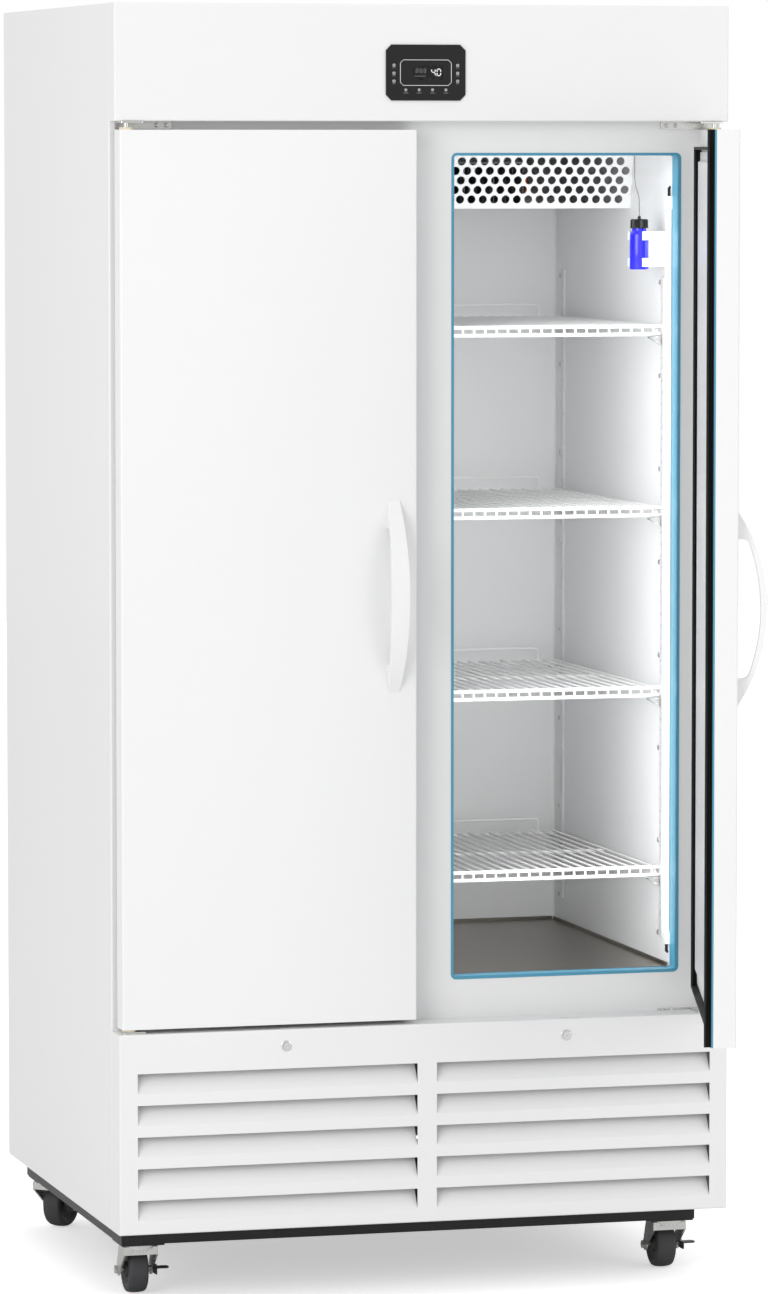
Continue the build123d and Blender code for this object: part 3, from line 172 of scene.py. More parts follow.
CAP = material("cap_black", srgb(12, 12, 13), 0.3, grain=500, bump=0.1, vary=0.1, wide=40, coat=0.3)

NODE_MATERIALS = {
    ENAMEL: ["left_side_panel", "right_side_panel", "top_panel", "face_frame", "header_panel", "lower_panel"],
    DOOR_ENAMEL: ["left_door_skin", "right_door_skin"],
    HANDLE: ["left_door_handle", "right_door_handle"],
    LINER: ["inner_liner", "evaporator_cover", "left_door_liner", "right_door_liner", "bottle_bracket"],
    WIRE: [f"{s}_shelf_{i}" for s in ("left", "right") for i in range(1, 5)],
    LAMP: ["light_strips"],
    FOAM: ["insulation"],
    GALVANISED: ["rear_panel"],
    STEEL: ["floor_pan"],
    STANDARD: ["shelf_standards", "shelf_clips"],
    BLUE: ["breaker_strips"],
    RUBBER: ["left_door_gasket", "right_door_gasket"],
    BLACK_METAL: ["base_frame", "compressor"],
    BEZEL: ["controller_housing"],
    BLACK: ["evaporator_fan", "condenser_fan"] + [f"caster_{c}_pedal" for c in CASTERS],
    CAP: ["probe_bottle_cap"],
    GLASS: ["controller_window"],
    ALUMINIUM: ["evaporator_coil", "condenser_coil"],
    ZINC: ["hinge_brackets"] + [f"caster_{c}_yoke" for c in CASTERS],
    CHROME: ["left_lock", "right_lock"],
    LIQUID: ["probe_bottle"],
    PRINT_GREY: ["probe_wire"],
    CREAM: ["left_door_bushings", "right_door_bushings"],
    TYRE: [f"caster_{c}_wheel" for c in CASTERS],
}
for m, names in NODE_MATERIALS.items():
    for n in names:
        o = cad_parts[n]
        for i in range(max(1, len(o.material_slots))):
            if not o.material_slots:
                o.data.materials.append(m)
            else:
                o.material_slots[i].link = "OBJECT"
                o.material_slots[i].material = m


# Mesh helpers

def piece(name, bm, mat, body, replaces=(), smooth=False, bevel=0.0, angle=40):
    """Turns a bmesh into a piece that rides on a body."""
    edge_angle = math.radians(35)
    bmesh.ops.recalc_face_normals(bm, faces=bm.faces)
    me = bpy.data.meshes.new(name)
    bm.to_mesh(me)
    bm.free()
    for m in (mat if isinstance(mat, (list, tuple)) else [mat]):
        me.materials.append(m)
    o = bpy.data.objects.new(name, me)
    bpy.context.scene.collection.objects.link(o)
    if smooth:
        me.shade_smooth()
        me.set_sharp_from_angle(angle=math.radians(angle))
    if bevel:
        b = o.modifiers.new("edge", "BEVEL")
        b.width = bevel
        b.segments = 3
        b.limit_method = "ANGLE"
        b.angle_limit = edge_angle
        b.harden_normals = True
        me.shade_smooth()
        me.set_sharp_from_angle(angle=edge_angle)
    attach(o, body)
    if replaces:
        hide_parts(*([replaces] if isinstance(replaces, str) else replaces))
    return o


def block(bm, low, high, mat=0):
    """An axis-aligned block between two corners."""
    c = [(low[i] + high[i]) / 2 for i in range(3)]
    s = [abs(high[i] - low[i]) for i in range(3)]
    made = bmesh.ops.create_cube(bm, size=1, matrix=Matrix.Translation(c) @ Matrix.Diagonal((*s, 1)))
    for f in {f for v in made["verts"] for f in v.link_faces}:
        f.material_index = mat


def rod(bm, a, b, r, n=12, mat=0):
    """A round bar from a to b."""
    a, b = Vector(a), Vector(b)
    d = b - a
    q = d.to_track_quat("Z", "Y").to_matrix().to_4x4()
    made = bmesh.ops.create_cone(bm, cap_ends=True, segments=n, radius1=r, radius2=r, depth=d.length,
                                 matrix=Matrix.Translation((a + b) / 2) @ q)
    for f in {f for v in made["verts"] for f in v.link_faces}:
        f.material_index = mat


def sweep(bm, path, section, closed=False, mat=0, up=(0, 0, 1), scale=None):
    """A section, given as (side, up) points, carried along a path without twist."""
    path = [Vector(p) for p in path]
    rings = []
    n = len(path)
    for i, p in enumerate(path):
        before = path[i - 1] if i else (path[-1] if closed else p)
        after = path[(i + 1) % n] if closed or i < n - 1 else p
        d = (after - before).normalized()
        side = d.cross(Vector(up)).normalized()
        top = side.cross(d).normalized()
        k = scale[i] if scale else (1, 1)
        rings.append([bm.verts.new(p + side * s * k[0] + top * t * k[1]) for s, t in section])
    m = len(section)
    for i in range(n if closed else n - 1):
        a, b = rings[i], rings[(i + 1) % n]
        for j in range(m):
            f = bm.faces.new((a[j], a[(j + 1) % m], b[(j + 1) % m], b[j]))
            f.material_index = mat
    if not closed:
        for ring in (rings[0], rings[-1]):
            f = bm.faces.new(ring)
            f.material_index = mat
    return rings


def circle(r, n=12):
    """A round section of n points."""
    return [(r * math.cos(2 * math.pi * i / n), r * math.sin(2 * math.pi * i / n)) for i in range(n)]


def wire(bm, path, r, n=10, mat=0, up=(0, 0, 1)):
    """A round wire along a path."""
    sweep(bm, path, circle(r, n), mat=mat, up=up)


def lathe(bm, profile, at, axis, n):
    """A closed ring of (radius, along) points turned about an axis."""
    q = Vector(axis).to_track_quat("Z", "Y")
    rings = []
    for i in range(n):
        a = 2 * math.pi * i / n
        ring = [Vector((r * math.cos(a), r * math.sin(a), z)) for r, z in profile]
        rings.append([bm.verts.new(Vector(at) + q @ p) for p in ring])
    m = len(profile)
    for i in range(n):
        a, b = rings[i], rings[(i + 1) % n]
        for j in range(m):
            bm.faces.new((a[j], a[(j + 1) % m], b[(j + 1) % m], b[j]))


def screw(bm, at, axis, r, h):
    """A pan-head screw with a cross recess, seated on a face."""
    q = Vector(axis).normalized().to_track_quat("Z", "Y")
    n, recess, waist = 20, r * 0.5, 0.55
    rows = [(r, 0), (r, h * 0.35), (r * 0.86, h * 0.8), (r * 0.55, h), (recess, h * 0.9), (r * 0.3, h * 0.25)]
    rings = []
    for radius, z in rows:
        ring = []
        for i in range(n):
            a = 2 * math.pi * i / n
            k = radius * waist if radius <= recess and i % 5 else radius
            ring.append(bm.verts.new(Vector(at) + q @ Vector((k * math.cos(a), k * math.sin(a), z))))
        rings.append(ring)
    for a, b in zip(rings, rings[1:]):
        for i in range(n):
            bm.faces.new((a[i], a[(i + 1) % n], b[(i + 1) % n], b[i]))
    bm.faces.new(rings[-1])
    bm.faces.new(rings[0][::-1])


def swung(bm, side):
    """Carries what was built on the closed right-hand door to the left door or to the open right door."""
    if side == "left":
        m = Matrix.Diagonal((-1, 1, 1, 1))
    else:
        p = Vector((*PIVOT, 0))
        m = Matrix.Translation(p) @ Matrix.Rotation(OPEN, 4, "Z") @ Matrix.Translation(-p)
    bmesh.ops.transform(bm, matrix=m, verts=bm.verts)


# Shelves, their hardware and the lamps

def shelves():
    """Eight wire shelves: wires with fronts that bend down, cross rods, side wires and a rear arch."""
    near, far = FRONT + 0.083, FRONT + 0.639
    centre = (near + far) / 2
    inner, outer = 0.011, 0.4325
    middle = (inner + outer) / 2
    count = 22
    wire_radius, rod_radius, side_radius, arch_radius = 0.00195, 0.003, 0.0029, 0.002
    rod_drop, lip_drop = 0.0062, 0.016
    for side, sg in SIDES:
        for level, top in enumerate(SHELF_TOPS, 1):
            bm = bmesh.new()
            z = top - 0.002
            bent = [(far + 0.0024, z), (centre, z), (near + 0.0065, z), (near + 0.003, z - 0.0012),
                    (near + 0.0006, z - 0.005), (near, z - 0.009), (near, top - lip_drop)]
            for i in range(count):
                x = sg * (middle + (i - (count - 1) / 2) * PITCH)
                wire(bm, [(x, y, h) for y, h in bent], wire_radius, 8, up=(1, 0, 0))
            for y, drop in ((near, 0.0032), (near, lip_drop), (centre, rod_drop), (far, rod_drop)):
                rod(bm, (sg * inner, y, top - drop), (sg * outer, y, top - drop), rod_radius, 12)
            bent = [(far + 0.002, top - rod_drop), (near + 0.012, top - rod_drop),
                    (near + 0.004, top - 0.009), (near, top - 0.0155)]
            for x in (inner + 0.0045, outer - 0.0045):
                wire(bm, [(sg * x, y, h) for y, h in bent], side_radius, 10, up=(1, 0, 0))
            half, foot, rise = 9 * PITCH, top - 0.004, top + 0.019
            arch = [(-half, foot), (-half, rise - 0.006), (-half + 0.0018, rise - 0.0018),
                    (-half + 0.006, rise), (half - 0.006, rise), (half - 0.0018, rise - 0.0018),
                    (half, rise - 0.006), (half, foot)]
            wire(bm, [(sg * middle + u, far, z) for u, z in arch], arch_radius, 10, up=(0, 1, 0))
            piece(f"wire_shelf_{side}_{level}", bm, WIRE, "cabinet", f"{side}_shelf_{level}",
                  smooth=True)


def holed_cell(bm, at, u, v, a, b, r, n):
    """One flat cell of a perforated sheet: a rectangle a by b with a round hole in its middle."""
    hole, edge = [], []
    corner = math.atan2(b, a)
    for i in range(n):
        t = 2 * math.pi * i / n
        hole.append((r * math.cos(t), r * math.sin(t)))
        toward = t
        for c in (corner, math.pi - corner, math.pi + corner, 2 * math.pi - corner):
            if abs(t - c) <= math.pi / n:
                toward = c
        c, s = math.cos(toward), math.sin(toward)
        k = min(a / 2 / abs(c) if abs(c) > 1e-9 else 1e9, b / 2 / abs(s) if abs(s) > 1e-9 else 1e9)
        edge.append((k * c, k * s))

    def put(p):
        return bm.verts.new(Vector(at) + u * p[0] + v * p[1])

    inside, outside = [put(p) for p in hole], [put(p) for p in edge]
    for i in range(n):
        j = (i + 1) % n
        bm.faces.new((inside[i], outside[i], outside[j], inside[j]))


def plain_cell(bm, at, u, v, u0, u1, v0, v1):
    """A flat cell without a hole, between two distances along u and two along v."""
    corners = ((u0, v0), (u1, v0), (u1, v1), (u0, v1))
    bm.faces.new([bm.verts.new(Vector(at) + u * p + v * q) for p, q in corners])


def thicken(o, t, offset):
    """Gives a flat sheet its thickness."""
    s = o.modifiers.new("sheet", "SOLIDIFY")
    s.thickness = t
    s.offset = offset


def standards():
    """Pressed strips with a slot every 19.05 mm, on the walls and round the two posts."""
    holes, hole_radius = 56, 0.0021
    strip, face, post = 0.0063, 0.0025, 0.01
    head = STANDARD_FOOT + 1.082
    first = STANDARD_FOOT + (1.082 - holes * PITCH) / 2
    last = first + holes * PITCH
    bm = bmesh.new()
    for y in STANDARD_YS:
        for sg in (-1, 1):
            x = sg * (WALL - face)
            for k in range(holes):
                at = (x, y, first + (k + 0.5) * PITCH)
                holed_cell(bm, at, ALONG_Y, ALONG_Z, 2 * strip, PITCH, hole_radius, 12)
            for z0, z1 in ((STANDARD_FOOT, first), (last, head)):
                plain_cell(bm, (x, y, 0), ALONG_Y, ALONG_Z, -strip, strip, z0, z1)
            for s in (-1, 1):
                fold = [(x, y + s * strip), (x + sg * 0.0010, y + s * 0.0078), (WALL * sg, y + s * 0.0084),
                        (WALL * sg, y + s * 0.0100)]
                for (xa, ya), (xb, yb) in zip(fold, fold[1:]):
                    corners = ((xa, ya, STANDARD_FOOT), (xb, yb, STANDARD_FOOT), (xb, yb, head),
                               (xa, ya, head))
                    bm.faces.new([bm.verts.new(p) for p in corners])
    for y, top in zip(STANDARD_YS, (CEILING, COVER_FOOT)):
        for sg in (-1, 1):
            for k in range(holes):
                at = (sg * post, y, first + (k + 0.5) * PITCH)
                holed_cell(bm, at, ALONG_Y, ALONG_Z, 2 * post, PITCH, hole_radius, 12)
            for z0, z1 in ((POST_FOOT, first), (last, top)):
                plain_cell(bm, (sg * post, y, 0), ALONG_Y, ALONG_Z, -post, post, z0, z1)
            plain_cell(bm, (0, y + sg * post, 0), ALONG_X, ALONG_Z, -post, post, POST_FOOT, top)
    bmesh.ops.remove_doubles(bm, verts=bm.verts, dist=1e-6)
    o = piece("slotted_standards", bm, STANDARD, "cabinet", "shelf_standards")
    thicken(o, 0.001, 0)


def standard_screws():
    """A screw beside each wall strip at every eighth slot."""
    highest, beside = 1.6245, 0.0165
    bm = bmesh.new()
    for y in STANDARD_YS:
        for sg in (-1, 1):
            for k in range(8):
                z = highest - k * 8 * PITCH
                if z > STANDARD_FOOT:
                    screw(bm, (sg * (WALL - 0.0002), y + beside, z), (-sg, 0, 0), 0.0042, 0.0022)
    piece("standard_screws", bm, ZINC, "cabinet", smooth=True)


def shelf_supports():
    """Bent clips that carry each shelf on the wall strips and on the posts."""
    front_drop, rear_drop = 0.019, 0.010
    half, thin = 0.0055, 0.0007
    section = [(-half, -thin), (half, -thin), (half, thin), (-half, thin)]
    bend = [(0.0006, -0.0135), (0.002, -0.0132), (0.0226, -0.0018), (0.0234, -0.0006), (0.0222, 0),
            (0.0008, 0)]
    bm = bmesh.new()
    for y, drop in zip(STANDARD_YS, (front_drop, rear_drop)):
        for top in SHELF_TOPS:
            rest = top - drop - 0.0009
            for sg in (-1, 1):
                for root, d in ((sg * (WALL - 0.0025), -sg), (sg * 0.01, sg)):
                    path = [(root + d * out, y, rest + z) for out, z in bend]
                    sweep(bm, path, section, up=(0, 1e-3, 1))
                    low, high = rest - 0.0145, rest + 0.004
                    block(bm, (root, y - 0.003, low), (root + d * 0.0016, y + 0.003, high))
    piece("shelf_supports", bm, ZINC, "cabinet", "shelf_clips", smooth=True)


def lamps():
    """A diffuser on an aluminium back at each wall, with end caps and a lead at both ends."""
    y0, y1 = FRONT + 0.0323, FRONT + 0.0483
    ym = (y0 + y1) / 2
    foot, head, cap = 0.566, 1.744, 0.021
    lead_radius = 0.0023
    for side, sg in SIDES:
        bm = bmesh.new()
        w = WALL * sg
        block(bm, (w, y0, foot), (w - sg * 0.0018, y1, head), 1)
        half = [(0.0018, y0 + 0.0006), (0.0034, y0 + 0.0008), (0.0050, y0 + 0.0028), (0.0059, ym - 0.002),
                (0.0059, ym + 0.002), (0.0050, y1 - 0.0028), (0.0034, y1 - 0.0008), (0.0018, y1 - 0.0006)]
        profile = [(w - sg * out, y) for out, y in half]
        a = [bm.verts.new((x, y, foot)) for x, y in profile]
        b = [bm.verts.new((x, y, head)) for x, y in profile]
        for i in range(len(profile)):
            j = (i + 1) % len(profile)
            bm.faces.new((a[i], a[j], b[j], b[i]))
        bm.faces.new(a)
        bm.faces.new(b[::-1])
        for z0, z1 in ((foot - cap, foot), (head, head + cap)):
            block(bm, (w, y0, z0), (w - sg * 0.006, y1, z1), 2)
        for z0, z1 in ((foot - cap, 0.532), (head + cap, 1.779)):
            rod(bm, (w - sg * 0.0028, ym, z0), (w - sg * 0.0028, ym, z1), lead_radius, 10, 3)
            rod(bm, (w - sg * 0.0028, ym, z1), (w - sg * 0.0002, ym, z1), lead_radius, 10, 3)
        piece(f"lamp_{side}", bm, [LAMP, ALUMINIUM, LINER, BLACK], "cabinet", "light_strips",
              smooth=True, angle=30)


def fan_grille():
    """The leaning sheet with staggered rows of round holes in two fields, and its flat floor."""
    low = Vector((0, FRONT + 0.255, COVER_FOOT))
    high = Vector((0, FRONT + 0.255 - 0.019037, CEILING))
    u, v = ALONG_X, (high - low).normalized()
    height = (high - low).length - 0.0003
    half, back = 0.4357, FRONT + 0.676
    pitch, step, hole_radius, rows = 0.01945, 0.01585, 0.0069, 5
    field = half - 0.012 - pitch * 15 / 2
    first = 0.015 - step / 2
    bm = bmesh.new()
    plain_cell(bm, low, u, v, -half, half, 0, first)
    plain_cell(bm, low, u, v, -half, half, first + rows * step, height)
    for row in range(rows):
        n = 16 - (row + 1) % 2
        z0, z1 = first + row * step, first + (row + 1) * step
        edges = []
        for c in (-field, field):
            for k in range(n):
                x = c + (k - (n - 1) / 2) * pitch
                holed_cell(bm, low + u * x + v * (z0 + step / 2), u, v, pitch, step, hole_radius, 24)
            edges.append((c - n * pitch / 2, c + n * pitch / 2))
        (a0, a1), (b0, b1) = edges
        for x0, x1 in ((-half, a0), (a1, b0), (b1, half)):
            plain_cell(bm, low, u, v, x0, x1, z0, z1)
    bmesh.ops.remove_doubles(bm, verts=bm.verts, dist=1e-6)
    under = ((-half, low.y), (half, low.y), (half, back), (-half, back))
    bm.faces.new([bm.verts.new((x, y, low.z)) for x, y in under])
    o = piece("fan_grille", bm, LINER, "cabinet", "evaporator_cover")
    thicken(o, 0.0012, 1)


def coil_fins():
    """The cooling coil's fins between its tubes, and copper bends at both ends."""
    start, z = FRONT + 0.355, COVER_FOOT + 0.0012 + 0.037
    count, spacing, thin, tall = 44, 0.0128, 0.00018, 0.0365
    tube, rise = 0.0045, 0.0185
    bm = bmesh.new()
    for i in range(count):
        x = (i - (count - 1) / 2) * spacing
        block(bm, (x - thin, start + 0.001, z - tall), (x + thin, start + 0.119, z + tall))
    for sg in (-1, 1):
        x = sg * 0.2865
        bend = [(-0.01, -rise), (0, -rise), (0.006, -0.012), (0.0085, 0), (0.006, 0.012), (0, rise),
                (-0.01, rise)]
        for y in (start + 0.03, start + 0.09):
            wire(bm, [(x + sg * out, y, z + h) for out, h in bend], tube, 10, 1, up=(0, 1, 0))
    piece("coil_fins", bm, [ALUMINIUM, COPPER], "cabinet", smooth=True, angle=30)


shelves()
standards()
standard_screws()
shelf_supports()
lamps()
fan_grille()
coil_fins()


# Doors

def gasket_section():
    """The gasket's outline in metres, as (side, out) points: a flat foot, two folds and a rounded head."""
    side = [(5.75, 0), (5.75, 1.9), (3.7, 2.9), (5.0, 4.1), (3.7, 5.3), (5.0, 6.5), (3.9, 7.6), (5.5, 8.4),
            (5.6, 10.6), (4.8, 11.6)]
    full = side + [(-s, t) for s, t in reversed(side)]
    return [(s / 1000, t / 1000) for s, t in full]


def doors():
    """What each door carries: gasket, blue strip on the free edge, handle and the handle's plugs."""
    shell = FRONT - 0.012
    free, gasket_half = 0.0155, 0.00575
    left, right = free + 0.008 + gasket_half, 0.4995 - 0.027 - gasket_half
    low, high = DOOR_FOOT + 0.031 + gasket_half, DOOR_HEAD - 0.0235 - gasket_half
    mitre = math.sqrt(2)
    for side, _ in SIDES:
        body = f"{side}_door"
        bm = bmesh.new()
        ring = [(left, shell, low), (right, shell, low), (right, shell, high), (left, shell, high)]
        sweep(bm, ring, gasket_section(), closed=True, up=(0, 1, 0), scale=[(mitre, 1)] * 4)
        for z0, z1 in ((DOOR_FOOT, low), (high, DOOR_HEAD)):
            sweep(bm, [(left, shell, z0), (left, shell, z1)], gasket_section(), up=(0, 1, 0))
        swung(bm, side)
        piece(f"gasket_{side}", bm, RUBBER, body, f"{side}_door_gasket")

        bm = bmesh.new()
        block(bm, (free - 0.0002, shell - 0.0022, 0.4487), (free + 0.0062, shell + 0.0006, 1.8713))
        swung(bm, side)
        piece(f"thermal_edge_{side}", bm, BLUE, body, bevel=0.0002)

        handle(side, body)
        bm = bmesh.new()
        plug = [(0.0001, 0), (0.0052, 0), (0.0052, 0.0009), (0.0036, 0.0015), (0.0001, 0.0017)]
        for z in (HANDLE_Z - 0.131, HANDLE_Z + 0.131):
            lathe(bm, plug, (HANDLE_X, shell + 0.002, z), (0, 1, 0), 20)
        swung(bm, side)
        piece(f"handle_plugs_{side}", bm, LINER, body, smooth=True)


def handle(side, body):
    """The bow handle: a grip that swells towards its middle and closes on two rounded feet."""
    face = FRONT - 0.05
    half, reach, grip, foot = 0.153, 0.046, 0.009, 0.109
    fillet, swell, end_width = 0.008, 0.005, 0.019
    steps = 72

    def arc(z, h, d):
        """How far a bow of half length h and rise d stands out at height z."""
        r = (h * h + d * d) / (2 * d)
        return math.sqrt(max(0, r * r - z * z)) - (r - d)

    def outer(z):
        return max(arc(z, half, reach), 0.0006)

    def inner(z):
        d = arc(z, half - grip, reach - grip)
        over = abs(z) - (foot - fillet)
        if over > 0:
            d -= fillet - math.sqrt(max(0, fillet ** 2 - over ** 2))
        return d

    def width(z):
        r = (half ** 2 + swell ** 2) / (2 * swell)
        return end_width / 2 + math.sqrt(r * r - z * z) - (r - swell)

    bm = bmesh.new()

    def row(z, into):
        """Four points across the handle at height z, from its hollow side round the bow and back."""
        w, out = width(z), outer(z)
        return [bm.verts.new((HANDLE_X + sx * w, face - y, HANDLE_Z + z))
                for sx, y in ((-1, into), (-1, out), (1, out), (1, into))]

    stations = [-half + half * 2 * i / steps for i in range(steps + 1)]
    stations = sorted(stations + [-foot, foot, -foot + 0.001, foot - 0.001, -foot + 0.004, foot - 0.004])
    rows = []
    for z in stations:
        if abs(abs(z) - foot) < 1e-9:
            flat, hollow = row(z, 0.0), row(z, inner(z))
            hollow[1], hollow[2] = flat[1], flat[2]
            rows += [flat, hollow] if z < 0 else [hollow, flat]
        else:
            rows.append(row(z, inner(z) if abs(z) < foot else 0.0))
    for p, q in zip(rows, rows[1:]):
        if p[1] is q[1]:
            bm.faces.new((p[0], q[0], q[3], p[3]))
            continue
        for i in range(4):
            j = (i + 1) % 4
            bm.faces.new((p[i], p[j], q[j], q[i]))
    bm.faces.new(rows[0])
    bm.faces.new(rows[-1])
    bmesh.ops.remove_doubles(bm, verts=bm.verts, dist=1e-7)
    swung(bm, side)
    o = piece(f"bow_handle_{side}", bm, HANDLE, body, f"{side}_door_handle")
    b = o.modifiers.new("edge", "BEVEL")
    b.width = 0.0026
    b.segments = 4
    b.limit_method = "ANGLE"
    b.angle_limit = math.radians(50)
    o.data.shade_smooth()
    o.data.set_sharp_from_angle(angle=math.radians(50))


doors()


# Controller, bottle, hinges, locks and casters

def bar(bm, x, z, w, h, y, mat=0):
    """A thin printed mark on a front-facing plane."""
    thick = 0.0003
    block(bm, (x - w / 2, y - thick, z - h / 2), (x + w / 2, y, z + h / 2), mat)


def digit(bm, number, x, z, h, y, mat=0):
    """A seven-segment figure, upright, h tall."""
    w, t = h * 0.55, h * 0.13
    gap = t * 1.3
    lit = {0: "abcdef", 4: "bcfg", 8: "abcdefg"}[number]
    place = {"a": (0, h / 2), "g": (0, 0), "d": (0, -h / 2), "b": (w / 2, h / 4), "c": (w / 2, -h / 4),
             "e": (-w / 2, -h / 4), "f": (-w / 2, h / 4)}
    for s in lit:
        dx, dz = place[s]
        flat = s in "agd"
        bar(bm, x + dx, z + dz, w - gap if flat else t, t if flat else h / 2 - gap, y, mat)


def panel_marks():
    """The window's outline, six touch rings with their labels, and four small suns over their labels."""
    half, z0, z1, c = 0.042, 1.9417, 1.9821, 0.005
    outline = [(-half + c, z0), (half - c, z0), (half, z0 + c), (half, z1 - c),
               (half - c, z1), (-half + c, z1), (-half, z1 - c), (-half, z0 + c)]
    line = 0.0003
    section = [(-line, 0), (line, 0), (line, line), (-line, line)]
    bm = bmesh.new()
    sweep(bm, [(x, CONTROL_FACE, z) for x, z in outline], section, closed=True, up=(0, -1, 0))
    ring_x, label = 0.0525, 0.0042
    ring = [(0.0016, 0), (0.0022, 0), (0.0022, 0.0003), (0.0016, 0.0003)]
    for i in range(3):
        z = 1.9735 - i * 0.0125
        for sg in (-1, 1):
            lathe(bm, ring, (sg * ring_x, CONTROL_FACE, z), (0, -1, 0), 18)
            bar(bm, sg * ring_x, z - label, 0.005, 0.0008, CONTROL_FACE, 1)
    dot, spread, sun_z, label_z = 0.0009, 0.0017, 1.9347, 1.9298
    for i in range(4):
        x = -0.033 + i * 0.022
        for k in range(6):
            a = math.pi * k / 3
            bar(bm, x + spread * math.cos(a), sun_z + spread * math.sin(a), dot, dot, CONTROL_FACE, 0)
        bar(bm, x, sun_z, dot, dot, CONTROL_FACE, 0)
        bar(bm, x, label_z, 0.008, dot, CONTROL_FACE, 1)
    piece("panel_marks", bm, [PRINT_WITH_GLOW, PRINT_GREY], "cabinet")


def display_figures():
    """A reading of two large figures and a point, three small grey ones and a grey bar of six dashes."""
    plane, z = CONTROL_FACE + 0.0004 - 0.00002, 1.962
    bm = bmesh.new()
    digit(bm, 4, 0.0125, z + 0.0005, 0.0105, plane)
    digit(bm, 0, 0.0215, z + 0.0005, 0.0105, plane)
    bar(bm, 0.0172, z - 0.0048, 0.0011, 0.0011, plane)
    for x in (-0.0145, -0.008, -0.0015):
        digit(bm, 8, x, z + 0.003, 0.0062, plane, 1)
    for i in range(6):
        bar(bm, -0.0165 + i * 0.003, z - 0.0055, 0.0018, 0.0012, plane, 1)
    piece("display_figures", bm, [PRINT_WITH_GLOW, PRINT_GREY], "cabinet")


def bottle():
    """The probe's bottle with a rounded shoulder, and its ribbed cap with the wire's collar."""
    x, y, z0 = 0.391, FRONT + 0.066, 1.646
    r, neck, height, cap_height = 0.0155, 0.0118, 0.0667, 0.015
    bm = bmesh.new()
    glass = [(0.0001, 0), (r - 0.0016, 0), (r - 0.0005, 0.0005), (r, 0.002), (r, 0.056), (r - 0.0006, 0.0585),
             (r - 0.003, 0.0615), (neck, 0.0632), (neck, height), (0.0001, height)]
    lathe(bm, glass, (x, y, z0), (0, 0, 1), 48)
    piece("coolant_bottle", bm, LIQUID, "cabinet", "probe_bottle", smooth=True)

    skirt, wall, ribs, rib = 0.0149, 0.0142, 80, 0.0003
    z1 = z0 + height
    z2 = z1 + cap_height
    bm = bmesh.new()
    rings = []
    profile = [(z1, skirt), (z1 + 0.0010, skirt), (z1 + 0.0011, wall), (z2 - 0.0016, 0.0141), (z2, 0.0126)]
    for z, radius in profile:
        depth = rib if 0.014 < radius < skirt else 0
        ring = []
        for i in range(ribs):
            a = 2 * math.pi * i / ribs
            k = radius + (depth if i % 2 else -depth)
            ring.append(bm.verts.new((x + k * math.cos(a), y + k * math.sin(a), z)))
        rings.append(ring)
    for a, b in zip(rings, rings[1:]):
        for i in range(ribs):
            j = (i + 1) % ribs
            bm.faces.new((a[i], a[j], b[j], b[i]))
    bm.faces.new(rings[0])
    bm.faces.new(rings[-1])
    collar = [(0.0009, 0), (0.0026, 0), (0.0026, 0.0035), (0.0019, 0.0049), (0.0009, 0.0049)]
    lathe(bm, collar, (x, y, z2), (0, 0, 1), 20)
    piece("bottle_cap", bm, CAP, "cabinet", "probe_bottle_cap", smooth=True, angle=25)


def fasteners():
    """Screws in the hinge brackets, collars round the locks and screws in the rear sheet."""
    bm = bmesh.new()
    upper, lower = (FRONT - 0.003, 1.885 - 0.0063), (FRONT - 0.0022, 0.4415 + 0.0015)
    for sg in (-1, 1):
        for at, axis in ((upper, (0, -1, 0)), (lower, (0, 0, 1))):
            for x in (0.4140, 0.4300):
                screw(bm, (sg * x, *at), axis, 0.0034, 0.0018)
    piece("hinge_screws", bm, ZINC, "cabinet", smooth=True)

    bm = bmesh.new()
    collar = [(0.0062, 0), (0.0088, 0), (0.0088, 0.0007), (0.0080, 0.0012), (0.0062, 0.0012)]
    for sg in (-1, 1):
        lathe(bm, collar, (sg * 0.233, FRONT - 0.0565, 0.415), (0, -1, 0), 32)
    piece("lock_collars", bm, CHROME, "cabinet", smooth=True)

    bm = bmesh.new()
    for x in (-0.47, -0.235, 0.235, 0.47):
        for z in (0.16, 0.40, 0.75, 1.10, 1.45, 1.80, 2.03):
            screw(bm, (x, BACK + 0.0001, z), (0, 1, 0), 0.0042, 0.0022)
    piece("rear_screws", bm, ZINC, "cabinet", smooth=True)


